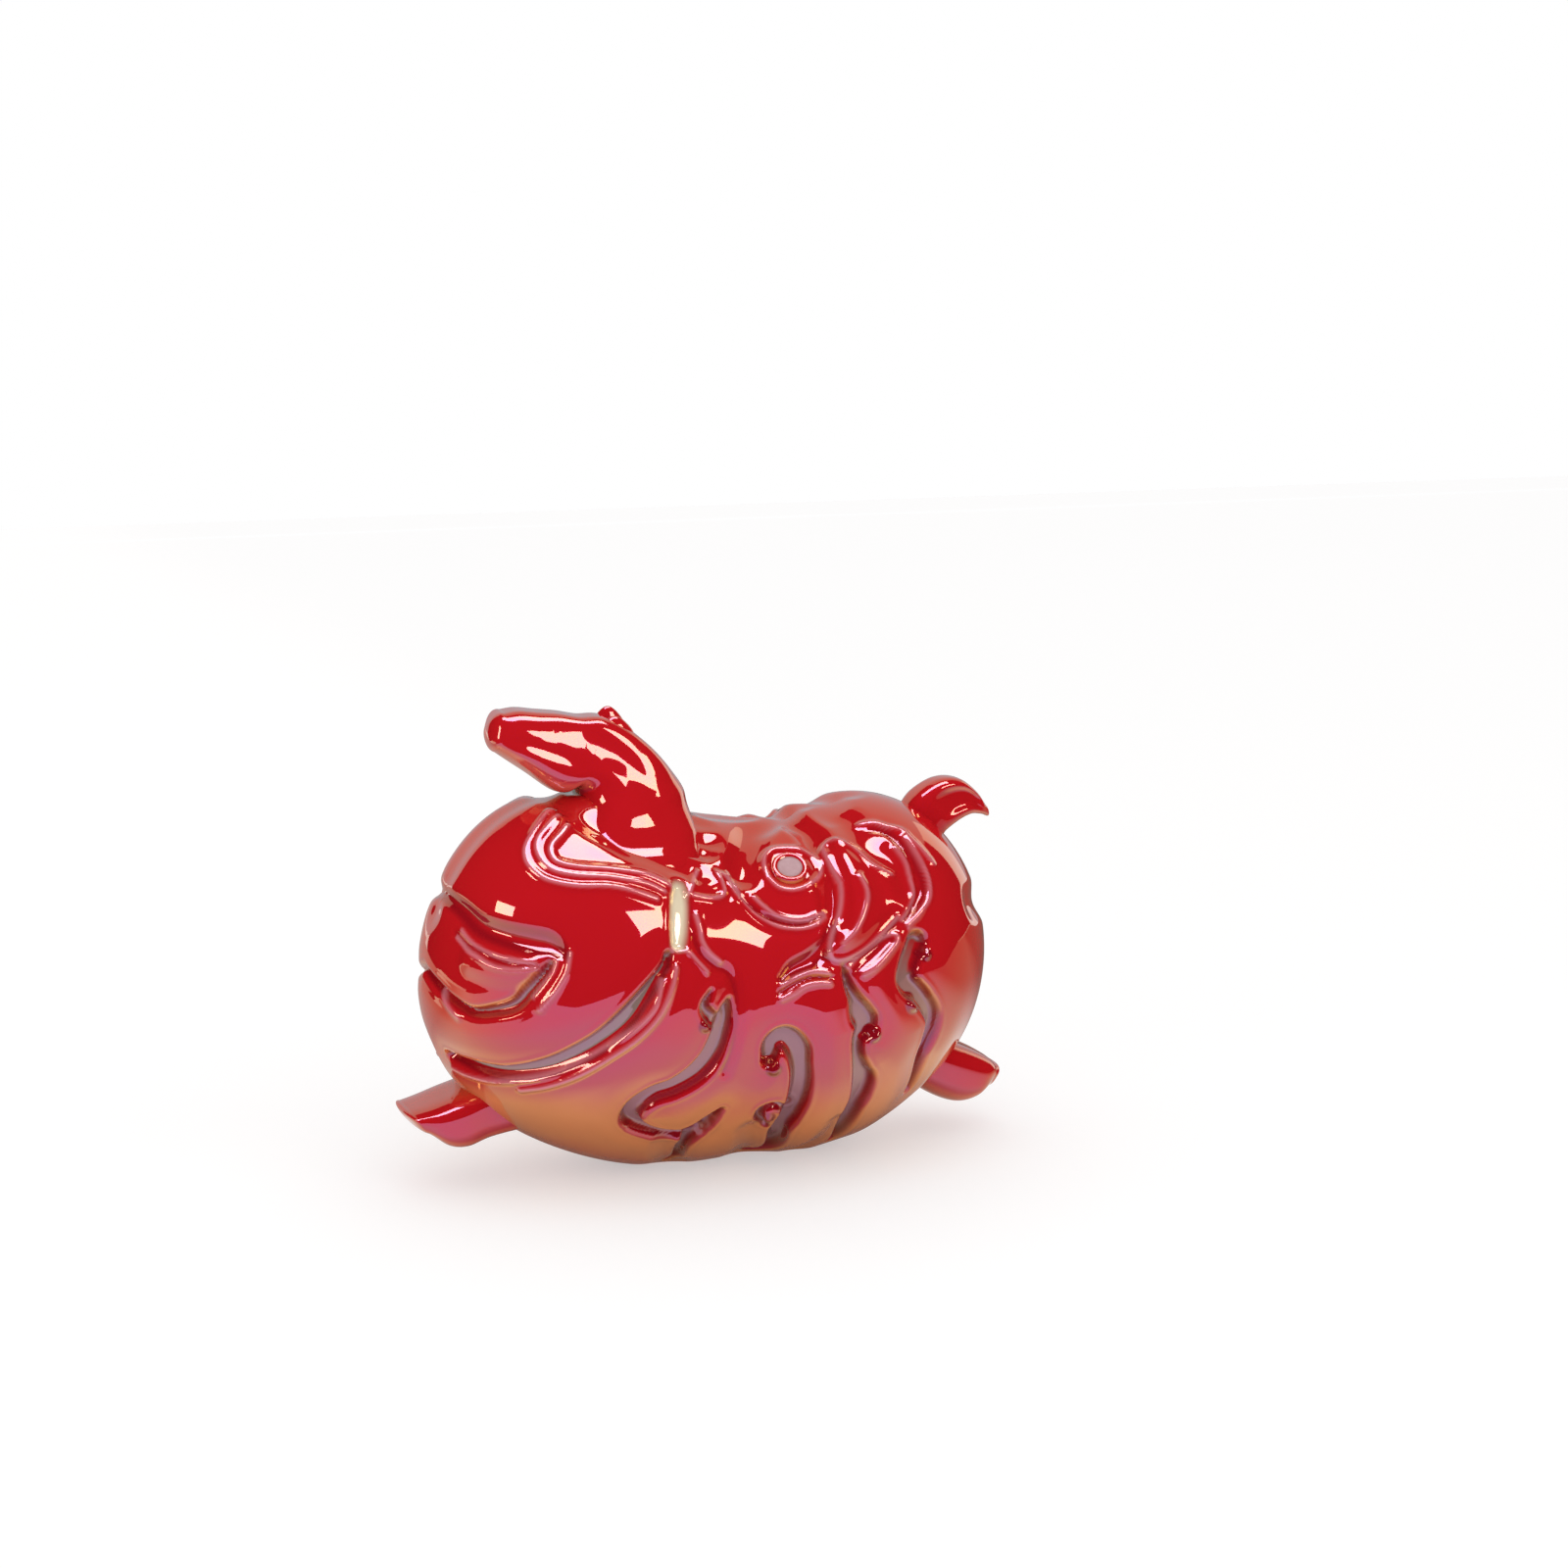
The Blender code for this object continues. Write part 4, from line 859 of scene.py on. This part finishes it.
for side in ring + [face]:
    side.material_index = 1
bmesh.ops.translate(disc, verts=disc.verts[:], vec=(0.0, 0.0, BUTTON_HEIGHT - BUTTON_DEPTH / 2))
facing = Vector(outward(BUTTON_SEAT[None])[0])
tilt = Vector((0.0, 0.0, 1.0)).rotation_difference(facing).to_matrix().to_4x4()
bmesh.ops.transform(disc, matrix=Matrix.Translation(BUTTON_SEAT) @ tilt, verts=disc.verts[:])
into_metres(disc)
button = make_piece("glazed_button", disc)


def bare_clay(name):
    """Matt clay that the glaze has only tinted, with a fine grain."""
    material = bpy.data.materials.new(name)
    material.use_nodes = True
    nodes, links = material.node_tree.nodes, material.node_tree.links
    shader = nodes["Principled BSDF"]
    shader.inputs["Roughness"].default_value = 0.45
    coordinates = nodes.new("ShaderNodeTexCoord")
    grain = nodes.new("ShaderNodeTexNoise")
    grain.inputs["Scale"].default_value = GRAIN_SCALE
    links.new(coordinates.outputs["Object"], grain.inputs["Vector"])
    tone = nodes.new("ShaderNodeMix")
    tone.data_type = "RGBA"
    tone.inputs["A"].default_value = BARE_TONES[0]
    tone.inputs["B"].default_value = BARE_TONES[1]
    links.new(grain.outputs["Fac"], tone.inputs["Factor"])
    links.new(tone.outputs["Result"], shader.inputs["Base Color"])
    rough = nodes.new("ShaderNodeBump")
    rough.inputs["Strength"].default_value = 0.25
    rough.inputs["Distance"].default_value = GRAIN_DEPTH
    links.new(grain.outputs["Fac"], rough.inputs["Height"])
    links.new(rough.outputs["Normal"], shader.inputs["Normal"])
    return material


button.data.materials.append(lustre_glaze("lustre_button", masks=False))
button.data.materials.append(bare_clay("bare_button_face"))
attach(button, "root")
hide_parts("flank_button")


# The table is a sheet of white paper that glows a little to the camera, to the glaze and
# through glass, so that it stays white. It ends a forearm in front of the figurine and to
# its left. From here on sizes are in metres.
TABLE_FRONT = -0.42
TABLE_LEFT = -0.36
TABLE_LENGTH = 4.0
TABLE_DEPTH = 3.0
TABLE_WHITE = (0.55, 0.55, 0.55, 1)
TABLE_GLOW = 0.46
table = bmesh.new()
bmesh.ops.create_grid(table, x_segments=2, y_segments=2, size=1.0)
for corner in table.verts:
    corner.co.x = TABLE_LEFT + (corner.co.x + 1.0) * TABLE_LENGTH / 2
    corner.co.y = TABLE_FRONT + (corner.co.y + 1.0) * TABLE_DEPTH / 2
floor = make_piece("table_top", table)
white = bpy.data.materials.new("white_table")
white.use_nodes = True
nodes, links = white.node_tree.nodes, white.node_tree.links
shader = nodes["Principled BSDF"]
shader.inputs["Base Color"].default_value = TABLE_WHITE
shader.inputs["Roughness"].default_value = 0.9
shader.inputs["Emission Color"].default_value = (1, 1, 1, 1)
ray = nodes.new("ShaderNodeLightPath")
seen = nodes.new("ShaderNodeMath")
seen.operation = "MAXIMUM"
links.new(ray.outputs["Is Camera Ray"], seen.inputs[0])
links.new(ray.outputs["Is Glossy Ray"], seen.inputs[1])
also = nodes.new("ShaderNodeMath")
also.operation = "MAXIMUM"
links.new(seen.outputs[0], also.inputs[0])
links.new(ray.outputs["Is Transmission Ray"], also.inputs[1])
glow = nodes.new("ShaderNodeMath")
glow.operation = "MULTIPLY"
glow.inputs[1].default_value = TABLE_GLOW
links.new(also.outputs[0], glow.inputs[0])
links.new(glow.outputs[0], shader.inputs["Emission Strength"])
floor.data.materials.append(white)


# The table's shade is what the glaze mirrors in place of the table. It is darker and
# warmer near the figurine and behind it, as the real table would be, and only
# reflections see it.
SHADE_CELLS = 160
SHADE_REACH = 2.6
SHADE_COARSENESS = 0.85       # how much closer its corners stand near the figurine
SHADE_LIFT = 0.0004
FOOTPRINT = (0.115, 0.060)    # half the figurine's length and half its width
DARKEST = 0.2
SHADE_START = (0.6, 0.7)      # footprints from the middle, and how softly it ends
SHADE_BEHIND = (0.5, 0.12)    # how much darker behind the figurine, within how far
SHADE_RIGHT = (0.6, 0.10, 0.2)    # how much darker on the right, from where, over how far
SHADE_WARM = (1.0, 0.42, 0.30, 1)


def mirrored_only(card):
    """Hides a card from the camera, from matt surfaces and from shadows, so that only the glaze sees
    it.
    """
    card.visible_camera = False
    card.visible_diffuse = False
    card.visible_shadow = False


shade = bmesh.new()
bmesh.ops.create_grid(shade, x_segments=SHADE_CELLS, y_segments=SHADE_CELLS, size=1.0)
spots = np.array([corner.co[:] for corner in shade.verts])
spots[:, :2] *= 1.0 - SHADE_COARSENESS + SHADE_COARSENESS * np.abs(spots[:, :2]) ** 3
spots *= SHADE_REACH
spots[:, 0] = np.maximum(spots[:, 0], TABLE_LEFT)
spots[:, 1] = np.maximum(spots[:, 1], TABLE_FRONT)
spots[:, 2] = SHADE_LIFT
for corner, spot in zip(shade.verts, spots):
    corner.co = spot
off_middle = np.hypot(spots[:, 0] / FOOTPRINT[0], spots[:, 1] / FOOTPRINT[1])
lightness = DARKEST + (1.0 - DARKEST) * ease((off_middle - SHADE_START[0]) / SHADE_START[1])
lightness *= 1.0 - SHADE_BEHIND[0] * ease(spots[:, 1] / SHADE_BEHIND[1])
lightness *= 1.0 - SHADE_RIGHT[0] * ease((spots[:, 0] - SHADE_RIGHT[1]) / SHADE_RIGHT[2])
paper = make_piece("table_shade", shade)
give_layer(paper, "lightness", lightness)
grey = bpy.data.materials.new("table_shade")
grey.use_nodes = True
nodes, links = grey.node_tree.nodes, grey.node_tree.links
shader = nodes["Principled BSDF"]
shader.inputs["Base Color"].default_value = (0, 0, 0, 1)
shader.inputs["Specular IOR Level"].default_value = 0.0
lit = nodes.new("ShaderNodeAttribute")
lit.attribute_name = "lightness"
tinted = nodes.new("ShaderNodeMix")
tinted.data_type = "RGBA"
tinted.inputs["A"].default_value = SHADE_WARM
tinted.inputs["B"].default_value = (1, 1, 1, 1)
links.new(lit.outputs["Fac"], tinted.inputs["Factor"])
links.new(tinted.outputs["Result"], shader.inputs["Emission Color"])
links.new(lit.outputs["Fac"], shader.inputs["Emission Strength"])
paper.data.materials.append(grey)
mirrored_only(paper)


# The studio is a room of matt black cards, which the glaze mirrors so that its red stays
# red. Behind the table and overhead at the back right they are a light grey backdrop.
ROOM_LEFT, ROOM_RIGHT = -3.0, 3.0
ROOM_FRONT, ROOM_BACK = -2.6, 2.4
ROOM_FLOOR, ROOM_TOP = -0.6, 2.4
CARD = 0.02                   # a card's thickness
GREY_LEFT = -1.2              # where the backdrop starts behind the table
SKY_LEFT = -0.1               # where it starts overhead
SKY_FRONT = 0.75
LEFT_APRON_BACK = 0.4
RIGHT_CARD_BACK = 1.1
BLACK = (0.003, 0.003, 0.003, 1)
BACKDROP = (0.88, 0.93, 1, 1)
BACKDROP_GLOW = 0.48


def card_paint(name, glow_colour, glow_strength):
    """Matt black paint that may glow."""
    material = bpy.data.materials.new(name)
    material.use_nodes = True
    shader = material.node_tree.nodes["Principled BSDF"]
    shader.inputs["Base Color"].default_value = BLACK
    shader.inputs["Roughness"].default_value = 1.0
    shader.inputs["Specular IOR Level"].default_value = 0.0
    shader.inputs["Emission Color"].default_value = glow_colour
    shader.inputs["Emission Strength"].default_value = glow_strength
    return material


black = card_paint("dark_card", BLACK, 0.0)
backdrop = card_paint("grey_backdrop", BACKDROP, BACKDROP_GLOW)
for name, low, high, paint in (
        ("card_front", (ROOM_LEFT, ROOM_FRONT - CARD, ROOM_FLOOR),
         (ROOM_RIGHT, ROOM_FRONT, ROOM_TOP), black),
        ("card_apron", (ROOM_LEFT, ROOM_FRONT, ROOM_FLOOR - CARD),
         (ROOM_RIGHT, TABLE_FRONT, ROOM_FLOOR), black),
        ("card_left", (ROOM_LEFT - CARD, ROOM_FRONT, ROOM_FLOOR),
         (ROOM_LEFT, ROOM_BACK, ROOM_TOP), black),
        ("card_left_apron", (ROOM_LEFT, TABLE_FRONT, ROOM_FLOOR - CARD),
         (TABLE_LEFT, LEFT_APRON_BACK, ROOM_FLOOR), black),
        ("card_right", (ROOM_RIGHT, ROOM_FRONT, ROOM_FLOOR),
         (ROOM_RIGHT + CARD, RIGHT_CARD_BACK, ROOM_TOP), black),
        ("card_above", (ROOM_LEFT, ROOM_FRONT, ROOM_TOP),
         (ROOM_RIGHT, SKY_FRONT, ROOM_TOP + CARD), black),
        ("card_behind", (GREY_LEFT, ROOM_BACK - CARD, 0.0),
         (ROOM_RIGHT, ROOM_BACK, ROOM_TOP), backdrop),
        ("card_behind_left", (ROOM_LEFT, ROOM_BACK - CARD, ROOM_FLOOR),
         (GREY_LEFT, ROOM_BACK, ROOM_TOP), black),
        ("card_sky", (SKY_LEFT, SKY_FRONT, ROOM_TOP),
         (ROOM_RIGHT, ROOM_BACK - CARD, ROOM_TOP + CARD), backdrop),
        ("card_above_left", (ROOM_LEFT, SKY_FRONT, ROOM_TOP),
         (SKY_LEFT, ROOM_BACK - CARD, ROOM_TOP + CARD), black)):
    shape = bmesh.new()
    bmesh.ops.create_cube(shape, size=1.0)
    for corner in shape.verts:
        for axis in range(3):
            corner.co[axis] = low[axis] + (corner.co[axis] + 0.5) * (high[axis] - low[axis])
    card = make_piece(name, shape)
    card.data.materials.append(paint)
    mirrored_only(card)


# The light comes from an even white sky and three softboxes, which make the window-shaped
# highlights and light nothing matt. Each faces the figurine from an angle round from the
# front and an angle up.
LIT_HEIGHT = 0.08             # the softboxes face a point this high over the table
WARM = (1.0, 0.95, 0.50)
PALE = (0.85, 0.9, 1.0)
SOFTBOXES = {                 # around, up, distance, length, height, radiance, colour
    "softbox_right": (29, 33, 2.0, 0.70, 0.46, 10, WARM),
    "softbox_left": (-72, 21, 0.9, 0.24, 0.22, 10, WARM),
    "softbox_above": (8, 78, 0.9, 0.7, 0.36, 8.5, PALE),
}


def from_front(around, up):
    """The unit vector at an angle round to the right from the front and an angle up."""
    around, up = np.radians(around), np.radians(up)
    return Vector((np.sin(around) * np.cos(up), -np.cos(around) * np.cos(up), np.sin(up)))


for name, (around, up, far, length, height, radiance, colour) in SOFTBOXES.items():
    place = from_front(around, up) * far
    lamp = bpy.data.lights.new(name, "AREA")
    lamp.shape = "RECTANGLE"
    lamp.size = length
    lamp.size_y = height
    lamp.energy = radiance * np.pi * length * height
    lamp.color = colour
    softbox = bpy.data.objects.new(name, lamp)
    bpy.context.collection.objects.link(softbox)
    softbox.location = place + Vector((0, 0, LIT_HEIGHT))
    softbox.rotation_euler = (-place).to_track_quat("-Z", "Y").to_euler()
    softbox.visible_diffuse = False

world = bpy.data.worlds.new("studio")
bpy.context.scene.world = world
world.use_nodes = True
background = world.node_tree.nodes["Background"]
background.inputs["Color"].default_value = (1, 1, 1, 1)
background.inputs["Strength"].default_value = 1.0


# The camera stands where the photo was taken from, to the left of the figurine's middle
# and above it. It faces a point that puts the figurine where the photo has it.
AROUND, RAISED, FAR = -20, 14, 1.1
PIVOT_HEIGHT = 0.0657         # the camera's angles turn about this height
PIVOT_PIXEL = (715, 998)      # where the pivot is in the photo, from its left and its top
PHOTO_SIZE = 1600
PIXELS_PER_METRE = 2778.0
SENSOR = 36
camera = bpy.data.cameras.new("camera")
viewer = bpy.data.objects.new("camera", camera)
bpy.context.collection.objects.link(viewer)
pivot = Vector((SHIFT * MM, 0, PIVOT_HEIGHT))
back = from_front(AROUND, RAISED)
right = Vector((np.cos(np.radians(AROUND)), np.sin(np.radians(AROUND)), 0))
upward = back.cross(right)
target = (pivot + right * ((PHOTO_SIZE / 2 - PIVOT_PIXEL[0]) / PIXELS_PER_METRE)
          + upward * ((PIVOT_PIXEL[1] - PHOTO_SIZE / 2) / PIXELS_PER_METRE))
eye = pivot + back * FAR
away = (eye - target).normalized()
sideways = Vector((0, 0, 1)).cross(away).normalized()
overhead = away.cross(sideways)
pose = Matrix((sideways, overhead, away)).transposed().to_4x4()
pose.translation = eye
viewer.matrix_world = pose
camera.sensor_width = SENSOR
camera.lens = SENSOR * PIXELS_PER_METRE * FAR / PHOTO_SIZE
bpy.context.scene.camera = viewer
bpy.context.scene.view_settings.view_transform = "Standard"
